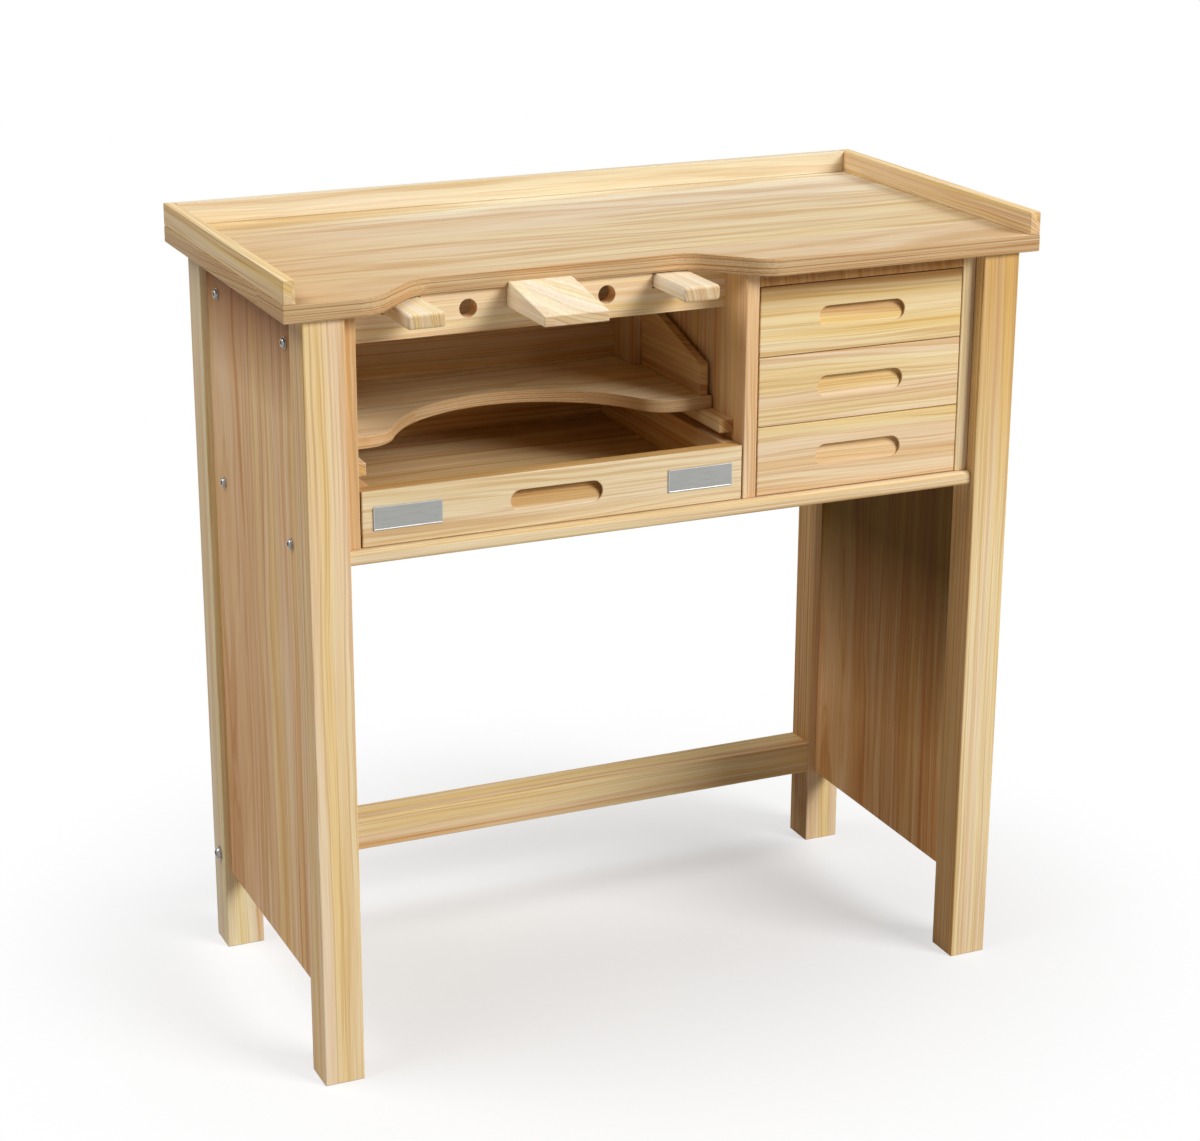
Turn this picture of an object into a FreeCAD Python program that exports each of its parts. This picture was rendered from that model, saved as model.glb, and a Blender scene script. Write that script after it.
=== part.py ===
import FreeCAD, Part
import math
import os
from types import SimpleNamespace

import Sketcher

# Jeweller's bench: a worktop with a belly cut-out and three raised edges, on four legs joined by two
# side panels and a rear stretcher. Under the top hangs a case with a wide sweeps drawer, a pull-out
# catch tray and three small drawers. An apron in the belly carries a wedge-shaped bench pin, two
# pull-out armrests and two round holes for tool handles.
#
# Frame: +Z up, +Y to the back, +X to the right of somebody who sits at the bench. The origin is on the
# floor, in the middle of the bench's overall footprint, which includes the bench pin.

DIMENSIONS = {
    # worktop and its raised edges
    "top_width": 939.8,
    "top_depth": 469.9,
    "top_height": 939.8,
    "top_thick": 20.6,
    "rim_high": 27.0,
    "rim_thick": 14.0,
    "belly_left": -274.5,
    "belly_right": 22.3,
    "belly_depth": 74.5,
    "belly_radius": 46.0,
    "belly_angle": 48.0,
    "round_over": 2.0,
    "eased": 0.8,
    # legs, side panels and stretcher
    "leg_wide": 49.0,
    "leg_deep": 47.0,
    "leg_side_inset": 22.0,
    "leg_front_inset": 7.0,
    "leg_back_inset": 20.0,
    "panel_thick": 29.0,
    "panel_inset": 9.0,
    "panel_bottom": 105.0,
    "tongue_thick": 10.0,
    "tongue_deep": 8.0,
    "tongue_slack": 0.3,
    "stretcher_high": 43.0,
    # case
    "case_front": 24.0,
    "case_rear_inset": 30.0,
    "case_slack": 0.4,
    "case_board": 17.0,
    "case_floor_bottom": 633.6,
    "case_floor_thick": 16.4,
    "case_nosing": 10.0,
    "nosing_radius": 5.0,
    "case_back_thick": 9.0,
    "divider_left": 93.2,
    "bay_top_thick": 16.4,
    "batten_high": 30.0,
    "upper_batten_high": 60.0,
    "cleat_deep": 18.0,
    # apron with its holes
    "apron_front": 80.0,
    "apron_thick": 18.0,
    "apron_high": 49.3,
    "tool_hole_radius": 10.8,
    "tool_hole_spacing": 170.6,
    "tool_hole_drop": 21.4,
    "bay_gadget_centre": -143.2,
    # bench pin
    "pin_reach": 31.0,
    "pin_wide": 78.0,
    "pin_tip_high": 12.0,
    "pin_bottom_drop": 23.7,
    "pin_overlap": 6.5,
    "pin_tongue_wide": 50.0,
    "pin_tongue_high": 12.0,
    "pin_tongue_long": 40.0,
    "pin_tongue_lift": 2.0,
    "tongue_play": 0.4,
    # armrests
    "arm_wide": 45.0,
    "arm_thick": 17.5,
    "arm_long": 300.0,
    "arm_reach": 5.0,
    "arm_spacing": 331.8,
    "arm_headroom": 1.5,
    "arm_play": 0.4,
    "arm_round": 4.0,
    "guide_wall": 12.0,
    "guide_floor": 10.0,
    "guide_long": 245.0,
    # sweeps drawer
    "sweeps_side_gap": 2.0,
    "sweeps_floor_gap": 0.9,
    "sweeps_high": 64.6,
    "sweeps_front_thick": 20.0,
    "sweeps_side_thick": 15.0,
    "sweeps_box_inset": 1.0,
    "sweeps_rear": 404.0,
    "sweeps_back_thick": 12.0,
    "pull_wide": 114.3,
    "pull_high": 25.4,
    "sweeps_pull_deep": 14.0,
    "plate_wide": 82.5,
    "plate_high": 27.5,
    "plate_thick": 1.5,
    "plate_bevel": 0.4,
    "plate_end_gap": 13.0,
    "ply": 6.0,
    "groove_up": 8.0,
    "groove_deep": 5.0,
    # catch tray
    "runner_wide": 18.0,
    "runner_high": 15.6,
    "runner_top": 740.6,
    "runner_front": 52.0,
    "tray_side_gap": 2.2,
    "tray_thick": 14.8,
    "tray_front": 105.0,
    "tray_back": 350.0,
    "tray_arc_radius": 176.0,
    "tray_arc_depth": 119.0,
    "tray_arc_shift": -3.0,
    "tray_corner_radius": 48.0,
    "tray_wall_thick": 10.0,
    "tray_wall_inset": 3.4,
    "tray_wall_front": 5.0,
    "tray_wall_low": 38.8,
    "tray_wall_high": 101.0,
    "tray_wall_run": 210.0,
    "tray_back_thick": 12.0,
    "corner_block_long": 64.0,
    "corner_block_high": 80.8,
    # small drawers
    "drawer_gap": 1.1,
    "drawer_side_gap": 1.2,
    "drawer_front_thick": 18.0,
    "drawer_side_thick": 12.0,
    "drawer_box_gap": 1.8,
    "drawer_side_high": 66.0,
    "drawer_side_up": 6.0,
    "drawer_rear": 417.0,
    "drawer_back_thick": 10.0,
    "drawer_ply": 5.0,
    "drawer_groove_up": 5.0,
    "ply_play": 0.2,
    "pull_lip": 0.5,
    "drawer_pull_deep": 10.0,
    "runner_groove_high": 13.0,
    "runner_groove_deep": 5.5,
    "runner_groove_up": 24.0,
    "runner_play": 1.0,
    "runner_out": 6.5,
    "slide_play": 0.3,
    "stop_slack": 0.3,
    "stop_wide": 40.0,
    "stop_high": 20.0,
    # bores for the bolts and barrel nuts that hold the bench together
    "bolt_bore_radius": 3.3,
    "bolt_reach": 53.0,
    "upper_bolt_height": 875.0,
    "bolt_spacing": 262.6,
    "stretcher_bore_radius": 4.3,
    "stretcher_bolt_reach": 118.0,
    "stretcher_bolt_front": 19.5,
    "barrel_bore_radius": 6.3,
    "barrel_long": 26.0,
    "barrel_from_end": 52.0,
}


class Size:
    """A length that knows both its number and the spreadsheet formula that gives it."""

    def __init__(self, number, formula):
        self.number = number
        self.formula = formula

    @staticmethod
    def of(value):
        return value if isinstance(value, Size) else Size(float(value), repr(float(value)))

    def __add__(self, other):
        other = Size.of(other)
        return Size(self.number + other.number, f"({self.formula} + {other.formula})")

    def __sub__(self, other):
        other = Size.of(other)
        return Size(self.number - other.number, f"({self.formula} - {other.formula})")

    def __mul__(self, other):
        other = Size.of(other)
        return Size(self.number * other.number, f"({self.formula} * {other.formula})")

    def __truediv__(self, other):
        other = Size.of(other)
        return Size(self.number / other.number, f"({self.formula} / {other.formula})")

    def __radd__(self, other):
        return Size.of(other) + self

    def __rmul__(self, other):
        return Size.of(other) * self

    def __neg__(self):
        return Size(-self.number, f"(0 - {self.formula})")


doc = FreeCAD.newDocument("jewelers_bench")
sheet = doc.addObject("Spreadsheet::Sheet", "dims")
for row, (alias, number) in enumerate(DIMENSIONS.items(), start=1):
    sheet.set(f"A{row}", alias.replace("_", " "))
    sheet.set(f"B{row}", str(number))
    sheet.setAlias(f"B{row}", alias)
doc.recompute()

d = SimpleNamespace(**{alias: Size(sheet.get(alias), f"dims.{alias}") for alias in DIMENSIONS})
NODES = []
CLOSE = 1e-6          # mm, within which two places count as one
LEAST_CUT = 1.0       # mm3, below which a pocket has missed its body


# --- helpers ------------------------------------------------------------------------------------


def bind(owner, property_name, size):
    """Tie one property of an object to the sheet."""
    owner.setExpression(property_name, Size.of(size).formula)


def place(owner, x, y, z):
    """Tie an object's position to the sheet."""
    for axis, size in zip("xyz", (x, y, z)):
        bind(owner, f"Placement.Base.{axis}", size)


def new_body(name, x, y, z):
    body = doc.addObject("PartDesign::Body", name)
    body.Label = name
    place(body, x, y, z)
    return body


def new_sketch(body, plane, offset=None):
    """A sketch on one of the body's own origin planes, moved along the plane's normal by offset."""
    sketch = body.newObject("Sketcher::SketchObject", f"{body.Name}_sketch")
    support = next(item for item in body.Origin.OriginFeatures if item.Role == f"{plane}_Plane")
    sketch.AttachmentSupport = (support, [""])
    sketch.MapMode = "FlatFace"
    if offset is not None:
        bind(sketch, "AttachmentOffset.Base.z", offset)
    return sketch


def hold_level(sketch, kind, geometry, vertex, size):
    """Dimension one coordinate ("DistanceX" or "DistanceY") of a vertex from the sketch's origin."""
    size = Size.of(size)
    index = sketch.addConstraint(Sketcher.Constraint(kind, -1, 1, geometry, vertex, size.number))
    bind(sketch, f"Constraints[{index}]", size)


def hold_point(sketch, geometry, vertex, x, y):
    """Dimension one vertex of a sketch from the sketch's origin."""
    hold_level(sketch, "DistanceX", geometry, vertex, x)
    hold_level(sketch, "DistanceY", geometry, vertex, y)


def hold(sketch, kind, geometry, size):
    """Dimension one element of a sketch: its "Radius" or its "Angle"."""
    size = Size.of(size)
    number = math.radians(size.number) if kind == "Angle" else size.number
    index = sketch.addConstraint(Sketcher.Constraint(kind, geometry, number))
    unit = " * 1 deg" if kind == "Angle" else ""
    sketch.setExpression(f"Constraints[{index}]", size.formula + unit)


def chain(sketch, elements):
    """A closed outline of lines and arcs, in order round it.

    Each element is a geometry and a flag that says whether the outline runs along it backwards, as it
    does on an arc that turns clockwise. Every arc runs smoothly into its neighbours.
    """
    count = len(elements)
    sketch.addGeometry([geometry for geometry, backwards in elements], False)
    for side in range(count):
        following = (side + 1) % count
        geometry, backwards = elements[side]
        next_geometry, next_backwards = elements[following]
        curved = any(isinstance(item, Part.ArcOfCircle) for item in (geometry, next_geometry))
        kind = "Tangent" if curved else "Coincident"
        leave = 1 if backwards else 2
        enter = 2 if next_backwards else 1
        sketch.addConstraint(Sketcher.Constraint(kind, side, leave, following, enter))


def polygon(sketch, corners):
    """A closed outline of straight lines through the given corners."""
    corners = [(Size.of(x), Size.of(y)) for x, y in corners]
    vectors = [FreeCAD.Vector(x.number, y.number, 0) for x, y in corners]
    first = sketch.GeometryCount
    count = len(corners)
    for start, end in zip(vectors, vectors[1:] + vectors[:1]):
        sketch.addGeometry(Part.LineSegment(start, end), False)
    for side in range(count):
        following = first + (side + 1) % count
        sketch.addConstraint(Sketcher.Constraint("Coincident", first + side, 2, following, 1))
        hold_point(sketch, first + side, 1, *corners[side])


def circle(sketch, x, y, radius):
    centre = FreeCAD.Vector(Size.of(x).number, Size.of(y).number, 0)
    edge = Part.Circle(centre, FreeCAD.Vector(0, 0, 1), Size.of(radius).number)
    geometry = sketch.addGeometry(edge, False)
    hold_point(sketch, geometry, 3, x, y)
    hold(sketch, "Radius", geometry, radius)


def rectangle(sketch, x, y, width, height):
    polygon(sketch, [(x, y), (x + width, y), (x + width, y + height), (x, y + height)])


def pill(sketch, x, y, width, height):
    """A slot outline centred on x, y: two straight runs and two round ends."""
    half = (Size.of(width) - height) / 2
    radius = Size.of(height) / 2
    left = FreeCAD.Vector((x - half).number, Size.of(y).number, 0)
    right = FreeCAD.Vector((x + half).number, Size.of(y).number, 0)
    up = FreeCAD.Vector(0, radius.number, 0)
    normal = FreeCAD.Vector(0, 0, 1)
    sketch.addGeometry(Part.LineSegment(left - up, right - up), False)
    arc = Part.ArcOfCircle(Part.Circle(right, normal, radius.number), -math.pi / 2, math.pi / 2)
    sketch.addGeometry(arc, False)
    sketch.addGeometry(Part.LineSegment(right + up, left + up), False)
    arc = Part.ArcOfCircle(Part.Circle(left, normal, radius.number), math.pi / 2, 3 * math.pi / 2)
    sketch.addGeometry(arc, False)
    for side in range(4):
        sketch.addConstraint(Sketcher.Constraint("Tangent", side, 2, (side + 1) % 4, 1))
    hold_point(sketch, 1, 3, x + half, y)
    hold_level(sketch, "DistanceX", 3, 3, x - half)
    hold(sketch, "Radius", 1, radius)
    sketch.addConstraint(Sketcher.Constraint("Horizontal", 0))


def pad(body, sketch, length, reverse=False):
    feature = body.newObject("PartDesign::Pad", f"{body.Name}_pad")
    feature.Profile = sketch
    bind(feature, "Length", length)
    feature.Reversed = reverse
    doc.recompute()
    return feature


def cut(body, sketch, length, reverse=False):
    """Pocket a sketch into a body, and stop if it removed nothing."""
    before = body.Shape.Volume
    feature = body.newObject("PartDesign::Pocket", f"{body.Name}_pocket")
    feature.Profile = sketch
    bind(feature, "Length", length)
    feature.Reversed = reverse
    doc.recompute()
    if body.Shape.Volume > before - LEAST_CUT:
        raise RuntimeError(f"{body.Label}: {feature.Name} removed nothing")
    return feature


def edges_where(shape, test):
    return [f"Edge{number}" for number, edge in enumerate(shape.Edges, start=1) if test(edge)]


def runs_along(axis):
    """A test for straight edges parallel to one axis."""
    position = "XYZ".index(axis)

    def test(edge):
        ends = [vertex.Point for vertex in edge.Vertexes]
        if len(ends) != 2 or not isinstance(edge.Curve, Part.Line):
            return False
        run = ends[1] - ends[0]
        return abs(abs(run[position]) - run.Length) < CLOSE
    return test


def lies_at(axis, level):
    """A test for edges that lie in one plane: the level of an axis, named "Y" or "Z"."""
    level = Size.of(level).number

    def test(edge):
        return all(abs(getattr(vertex, axis) - level) < CLOSE for vertex in edge.Vertexes)
    return test


def soften(body, kind, size, names):
    """Round ("Fillet") or chamfer the named edges of the body's last feature."""
    base = body.Tip
    feature = body.newObject(f"PartDesign::{kind}", f"{body.Name}_{kind.lower()}")
    feature.Base = (base, names)
    bind(feature, "Radius" if kind == "Fillet" else "Size", size)
    doc.recompute()
    return feature


def keep(item):
    """List an object as one of the bench's pieces."""
    NODES.append(item)
    return item


def board(name, corner, size, rounded=None, bevel=None):
    """A straight board: its lowest corner, its size along X, Y and Z, and its softened edges.

    rounded names the axis along which the long edges get the bench's round-over. Where no axis is
    named, all edges get a small chamfer, of the size bevel if that is given.
    """
    body = new_body(name, *corner)
    sketch = new_sketch(body, "XY")
    rectangle(sketch, 0, 0, size[0], size[1])
    pad(body, sketch, size[2])
    if rounded:
        soften(body, "Fillet", d.round_over, edges_where(body.Shape, runs_along(rounded)))
    else:
        soften(body, "Chamfer", bevel or d.eased, edges_where(body.Shape, lambda edge: True))
    return body


def moulding(name, corner, plane, corners, length, reverse=False):
    """A piece with one cross-section, drawn on a plane and carried along the plane's normal."""
    body = new_body(name, *corner)
    sketch = new_sketch(body, plane)
    polygon(sketch, corners)
    pad(body, sketch, length, reverse)
    return body


def group(name, members):
    """Several like pieces kept as one node of separate solids."""
    compound = doc.addObject("Part::Compound", name)
    compound.Label = name
    compound.Links = members
    return keep(compound)


# --- places that several pieces share -----------------------------------------------------------

front = -(d.top_depth + d.pin_reach) / 2 + d.pin_reach
back = front + d.top_depth
underside = d.top_height - d.top_thick

leg_outer = d.top_width / 2 - d.leg_side_inset
leg_inner = leg_outer - d.leg_wide
leg_front = front + d.leg_front_inset
rear_leg_front = back - d.leg_back_inset - d.leg_deep
panel_front = leg_front + d.leg_deep
panel_span = rear_leg_front - panel_front
panel_outer = leg_outer - d.panel_inset
panel_inner = panel_outer - d.panel_thick

case_half = leg_inner - d.case_slack
case_face = front + d.case_front
case_rear = back - d.case_rear_inset
case_floor_top = d.case_floor_bottom + d.case_floor_thick
bay_left = -case_half + d.case_board
divider_right = d.divider_left + d.case_board
case_right = case_half - d.case_board
back_face = case_rear - d.case_back_thick
bay_top = underside - d.bay_top_thick


# --- worktop and raised edges -------------------------------------------------------------------


def vector(x, y):
    return FreeCAD.Vector(x, y, 0)


def arc(x, y, radius, first, last):
    """An arc about x, y, from one angle to another, in degrees."""
    whole = Part.Circle(vector(x, y), FreeCAD.Vector(0, 0, 1), radius)
    return Part.ArcOfCircle(whole, math.radians(first), math.radians(last))


def line(x1, y1, x2, y2):
    return Part.LineSegment(vector(x1, y1), vector(x2, y2))


def make_worktop():
    """The worktop, with the belly where the jeweller sits: a straight recess between two S-curves.

    Each S is an arc tangent to the front edge, a straight flank and an arc tangent to the recess. The
    flank's length follows from the depth: 2 R (1 - cos angle) + length sin angle = depth.
    """
    body = new_body("worktop", 0, front, underside)
    sketch = new_sketch(body, "XY")
    half = d.top_width.number / 2
    length = d.top_depth.number
    left = d.belly_left.number
    right = d.belly_right.number
    deep = d.belly_depth.number
    radius = d.belly_radius.number
    angle = d.belly_angle.number
    step_x = radius * math.sin(math.radians(angle))
    step_y = radius * (1 - math.cos(math.radians(angle)))
    flank_run = (deep - 2 * step_y) / math.tan(math.radians(angle))
    left_nose = left - 2 * step_x - flank_run
    right_nose = right + 2 * step_x + flank_run
    chain(sketch, [
        (line(-half, length, -half, 0), False),
        (line(-half, 0, left_nose, 0), False),
        (arc(left_nose, radius, radius, -90, angle - 90), False),
        (line(left_nose + step_x, step_y, left - step_x, deep - step_y), False),
        (arc(left, deep - radius, radius, 90, 90 + angle), True),
        (line(left, deep, right, deep), False),
        (arc(right, deep - radius, radius, 90 - angle, 90), True),
        (line(right + step_x, deep - step_y, right_nose - step_x, step_y), False),
        (arc(right_nose, radius, radius, -90 - angle, -90), False),
        (line(right_nose, 0, half, 0), False),
        (line(half, 0, half, length), False),
        (line(half, length, -half, length), False),
    ])
    for side in (1, 5, 9, 11):
        sketch.addConstraint(Sketcher.Constraint("Horizontal", side))
    for side in (0, 10):
        sketch.addConstraint(Sketcher.Constraint("Vertical", side))
    for side in (2, 4, 6, 8):
        hold(sketch, "Radius", side, d.belly_radius)
    hold(sketch, "Angle", 3, d.belly_angle)
    hold(sketch, "Angle", 7, -d.belly_angle)
    hold_point(sketch, 0, 2, -d.top_width / 2, 0)
    hold_point(sketch, 10, 1, d.top_width / 2, 0)
    hold_level(sketch, "DistanceY", 11, 1, d.top_depth)
    hold_point(sketch, 5, 1, d.belly_left, d.belly_depth)
    hold_level(sketch, "DistanceX", 5, 2, d.belly_right)
    pad(body, sketch, d.top_thick)

    soften(body, "Fillet", d.round_over, edges_where(body.Shape, lies_at("Z", d.top_height)))
    soften(body, "Chamfer", d.eased, edges_where(body.Shape, lies_at("Z", underside)))
    return keep(body)


def make_raised_edges():
    """A back rail and two end rails, which stand on the worktop and keep work from rolling off."""
    low, high = d.top_height, d.rim_high
    right = d.top_width / 2 - d.rim_thick
    between = d.top_width - 2 * d.rim_thick
    keep(board("back_rail", (-right, back - d.rim_thick, low), (between, d.rim_thick, high)))
    keep(board("left_rail", (-right - d.rim_thick, front, low), (d.rim_thick, d.top_depth, high)))
    keep(board("right_rail", (right, front, low), (d.rim_thick, d.top_depth, high)))


# --- legs, side panels and stretcher ------------------------------------------------------------


def make_leg(name, side, is_front):
    """A square leg with a stopped groove for the side panel's tongue.

    side is -1 on the left and +1 on the right. A rear leg has the stretcher bolt's hole through it.
    """
    corner_x = leg_inner if side > 0 else -leg_outer
    body = new_body(name, corner_x, leg_front if is_front else rear_leg_front, 0)
    sketch = new_sketch(body, "XY")
    rectangle(sketch, 0, 0, d.leg_wide, d.leg_deep)
    pad(body, sketch, underside)
    soften(body, "Fillet", d.round_over, edges_where(body.Shape, runs_along("Z")))
    soften(body, "Chamfer", d.eased, edges_where(body.Shape, lies_at("Z", 0)))

    panel_middle = (panel_outer + panel_inner) / 2 * side - corner_x
    groove = new_sketch(body, "XY", d.panel_bottom)
    groove_y = d.leg_deep - d.tongue_deep if is_front else Size.of(0)
    rectangle(groove, panel_middle - d.tongue_thick / 2, groove_y, d.tongue_thick, d.tongue_deep)
    cut(body, groove, underside, reverse=True)
    if not is_front:
        hole = new_sketch(body, "YZ")
        circle(hole, d.stretcher_bolt_front, stretcher_middle, d.stretcher_bore_radius)
        cut(body, hole, d.leg_wide, reverse=True)
    return keep(body)


def make_side_panel(name, side):
    """A solid panel between two legs, with a tongue along each edge and four bolt holes."""
    corner_x = panel_inner if side > 0 else -panel_outer
    body = new_body(name, corner_x, panel_front, d.panel_bottom)
    near = (d.panel_thick - d.tongue_thick) / 2 + d.tongue_slack
    far = (d.panel_thick + d.tongue_thick) / 2 - d.tongue_slack
    reach = d.tongue_deep - d.tongue_slack
    sketch = new_sketch(body, "XY")
    polygon(sketch, [
        (0, 0), (near, 0), (near, -reach), (far, -reach), (far, 0), (d.panel_thick, 0),
        (d.panel_thick, panel_span), (far, panel_span), (far, panel_span + reach),
        (near, panel_span + reach), (near, panel_span), (0, panel_span),
    ])
    pad(body, sketch, underside - d.panel_bottom)
    holes = new_sketch(body, "YZ")
    for y, z in bolt_places:
        circle(holes, y - panel_front, z - d.panel_bottom, d.bolt_bore_radius)
    cut(body, holes, d.panel_thick, reverse=True)
    return keep(body)


def make_stretcher():
    """The lower rail between the rear legs, bored at each end for a bolt and its barrel nut."""
    body = board("rear_stretcher", (-leg_inner, rear_leg_front, d.panel_bottom),
                 (leg_inner * 2, d.leg_deep, d.stretcher_high), rounded="X")
    middle = d.stretcher_high / 2
    bore_deep = d.stretcher_bolt_reach - d.leg_wide
    for end in (0, 1):
        bore = new_sketch(body, "YZ", leg_inner * 2 if end else None)
        circle(bore, d.stretcher_bolt_front, middle, d.stretcher_bore_radius)
        cut(body, bore, bore_deep, reverse=not end)
        nut_x = leg_inner * 2 - d.barrel_from_end if end else d.barrel_from_end
        nut_hole = new_sketch(body, "XY")
        circle(nut_hole, nut_x, d.stretcher_bolt_front, d.barrel_bore_radius)
        cut(body, nut_hole, middle + d.barrel_long / 2, reverse=True)
    return keep(body)


stretcher_middle = d.panel_bottom + d.stretcher_high / 2
panel_middle_y = panel_front + panel_span / 2
lower_bolt_height = d.case_floor_bottom + d.case_floor_thick / 2
bolt_places = [
    (panel_middle_y + sign * d.bolt_spacing / 2, z)
    for z in (d.upper_bolt_height, lower_bolt_height)
    for sign in (-1, 1)
]

make_worktop()
make_raised_edges()
for side_name, side in (("left", -1), ("right", 1)):
    make_leg(f"front_{side_name}_leg", side, True)
    make_leg(f"rear_{side_name}_leg", side, False)
    make_side_panel(f"{side_name}_side_panel", side)
make_stretcher()

# --- case ---------------------------------------------------------------------------------------


def bore_sideways(body, x, places, length, towards_right):
    """Bores for bolts along X: they start on the plane at x and run to one side."""
    sketch = new_sketch(body, "YZ", x)
    for y, z in places:
        circle(sketch, y, z, d.bolt_bore_radius)
    cut(body, sketch, length, reverse=towards_right)


def make_case_sides():
    """The case's two outer sides. Each is bored from outside for the ends of two bolts."""
    for name, side in (("case_left_side", -1), ("case_right_side", 1)):
        corner_x = -case_half if side < 0 else case_right
        body = board(name, (corner_x, case_face, case_floor_top),
                     (d.case_board, case_rear - case_face, underside - case_floor_top))
        places = [(y - case_face, z - case_floor_top) for y, z in bolt_places[:2]]
        start = 0 if side < 0 else d.case_board
        bore_sideways(body, start, places, bolt_bore_deep, side < 0)
        keep(body)


def make_case_floor():
    """The case's bottom board. Its front edge is a rounded nosing that stands proud of the sides."""
    length = case_half * 2
    body = new_body("case_floor", -case_half, case_face - d.case_nosing, d.case_floor_bottom)
    sketch = new_sketch(body, "XY")
    rectangle(sketch, 0, 0, length, case_rear - case_face + d.case_nosing)
    pad(body, sketch, d.case_floor_thick)
    along = runs_along("X")
    at_front = lies_at("Y", case_face - d.case_nosing)
    nose = edges_where(body.Shape, lambda edge: along(edge) and at_front(edge))
    soften(body, "Fillet", d.nosing_radius, nose)
    middle = d.case_floor_thick / 2
    places = [(y - case_face + d.case_nosing, middle) for y, z in bolt_places[2:]]
    for start, towards_right in ((0, True), (length, False)):
        bore_sideways(body, start, places, bolt_bore_deep, towards_right)
    return keep(body)


def make_battens(name, side):
    """Two battens that fill the space between the case and a side panel, where the bolts pull."""
    corner_x = case_half if side > 0 else -panel_inner
    members = []
    for level, bottom, high, bolt_pair in (
            ("lower", d.case_floor_bottom, d.batten_high, bolt_places[2:]),
            ("upper", underside - d.upper_batten_high, d.upper_batten_high, bolt_places[:2])):
        body = board(f"{name}_{level}", (corner_x, panel_front, bottom),
                     (panel_inner - case_half, panel_span, high))
        places = [(y - panel_front, z - bottom) for y, z in bolt_pair]
        bore_sideways(body, 0, places, panel_inner - case_half, True)
        members.append(body)
    return group(name, members)


bolt_bore_deep = d.bolt_reach - (panel_outer - case_half)
bay_width = d.divider_left - bay_left
drawer_bay_width = case_right - divider_right

make_case_sides()
make_case_floor()
keep(board("case_back", (bay_left, back_face, case_floor_top),
           (case_right - bay_left, d.case_back_thick, underside - case_floor_top)))
keep(board("case_divider", (d.divider_left, case_face, case_floor_top),
           (d.case_board, back_face - case_face, underside - case_floor_top)))
keep(board("drawer_bay_top", (divider_right, case_face, bay_top),
           (drawer_bay_width, back_face - case_face, d.bay_top_thick)))
keep(board("rear_top_cleat", (bay_left, back_face - d.cleat_deep, bay_top),
           (bay_width, d.cleat_deep, d.bay_top_thick)))
make_battens("left_battens", -1)
make_battens("right_battens", 1)


# --- apron, bench pin and armrests --------------------------------------------------------------

apron_face = front + d.apron_front
apron_rear = apron_face + d.apron_thick
apron_bottom = underside - d.apron_high
arm_bottom = underside - d.arm_headroom - d.arm_thick
arm_centres = {
    "left": d.bay_gadget_centre - d.arm_spacing / 2,
    "right": d.bay_gadget_centre + d.arm_spacing / 2,
}
pin_bottom = underside - d.pin_bottom_drop


def make_apron():
    """The board across the belly: open notches for the armrests, two holes and the pin's mortise."""
    floor = arm_bottom - d.arm_play - apron_bottom
    half = d.arm_wide / 2 + d.arm_play
    notches = []
    for centre in arm_centres.values():
        middle = centre - bay_left
        notches += [
            (middle - half, d.apron_high), (middle - half, floor),
            (middle + half, floor), (middle + half, d.apron_high),
        ]
    corners = [(bay_width, 0), (0, 0), (0, d.apron_high)] + notches + [(bay_width, d.apron_high)]
    body = moulding("apron", (bay_left, apron_face, apron_bottom), "XZ", corners, d.apron_thick,
                    reverse=True)
    middle = d.bay_gadget_centre - bay_left
    holes = new_sketch(body, "XZ")
    hole_height = d.apron_high - d.tool_hole_drop
    for sign in (-1, 1):
        circle(holes, middle + sign * d.tool_hole_spacing / 2, hole_height, d.tool_hole_radius)
    cut(body, holes, d.apron_thick)
    mortise = new_sketch(body, "XZ")
    rectangle(mortise, middle - d.pin_tongue_wide / 2 - d.tongue_play,
              pin_bottom + d.pin_tongue_lift - d.tongue_play - apron_bottom,
              d.pin_tongue_wide + d.tongue_play * 2, d.pin_tongue_high + d.tongue_play * 2)
    cut(body, mortise, d.apron_thick)
    return keep(body)


def make_bench_pin():
    """The wedge that work is filed on. It overlaps the worktop's edge, and its tongue fills the mortise."""
    body = new_body("bench_pin", d.bay_gadget_centre - d.pin_wide / 2, apron_face, pin_bottom)
    tip = -(d.apron_front + d.pin_reach)
    shoulder = d.belly_depth - d.apron_front - d.stop_slack
    step = d.pin_bottom_drop - d.stop_slack
    top = d.pin_bottom_drop + d.pin_overlap
    block = new_sketch(body, "YZ")
    rear = -d.stop_slack
    polygon(block, [
        (tip, 0), (rear, 0), (rear, step), (shoulder, step), (shoulder, top), (tip, d.pin_tip_high),
    ])
    pad(body, block, d.pin_wide)
    soften(body, "Chamfer", d.eased, edges_where(body.Shape, lambda edge: True))
    tongue = new_sketch(body, "YZ", (d.pin_wide - d.pin_tongue_wide) / 2)
    rectangle(tongue, -d.arm_round, d.pin_tongue_lift, d.pin_tongue_long + d.arm_round, d.pin_tongue_high)
    pad(body, tongue, d.pin_tongue_wide)
    return keep(body)


def make_armrest(name, centre):
    """A pull-out slat with rounded edges."""
    body = new_body(name, centre - d.arm_wide / 2, front - d.arm_reach, arm_bottom)
    sketch = new_sketch(body, "XY")
    rectangle(sketch, 0, 0, d.arm_wide, d.arm_long)
    pad(body, sketch, d.arm_thick)
    along = runs_along("Y")
    at_tip = lies_at("Y", front - d.arm_reach)
    shown = edges_where(body.Shape, lambda edge: along(edge) or at_tip(edge))
    soften(body, "Fillet", d.arm_round, shown)
    return keep(body)


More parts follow.
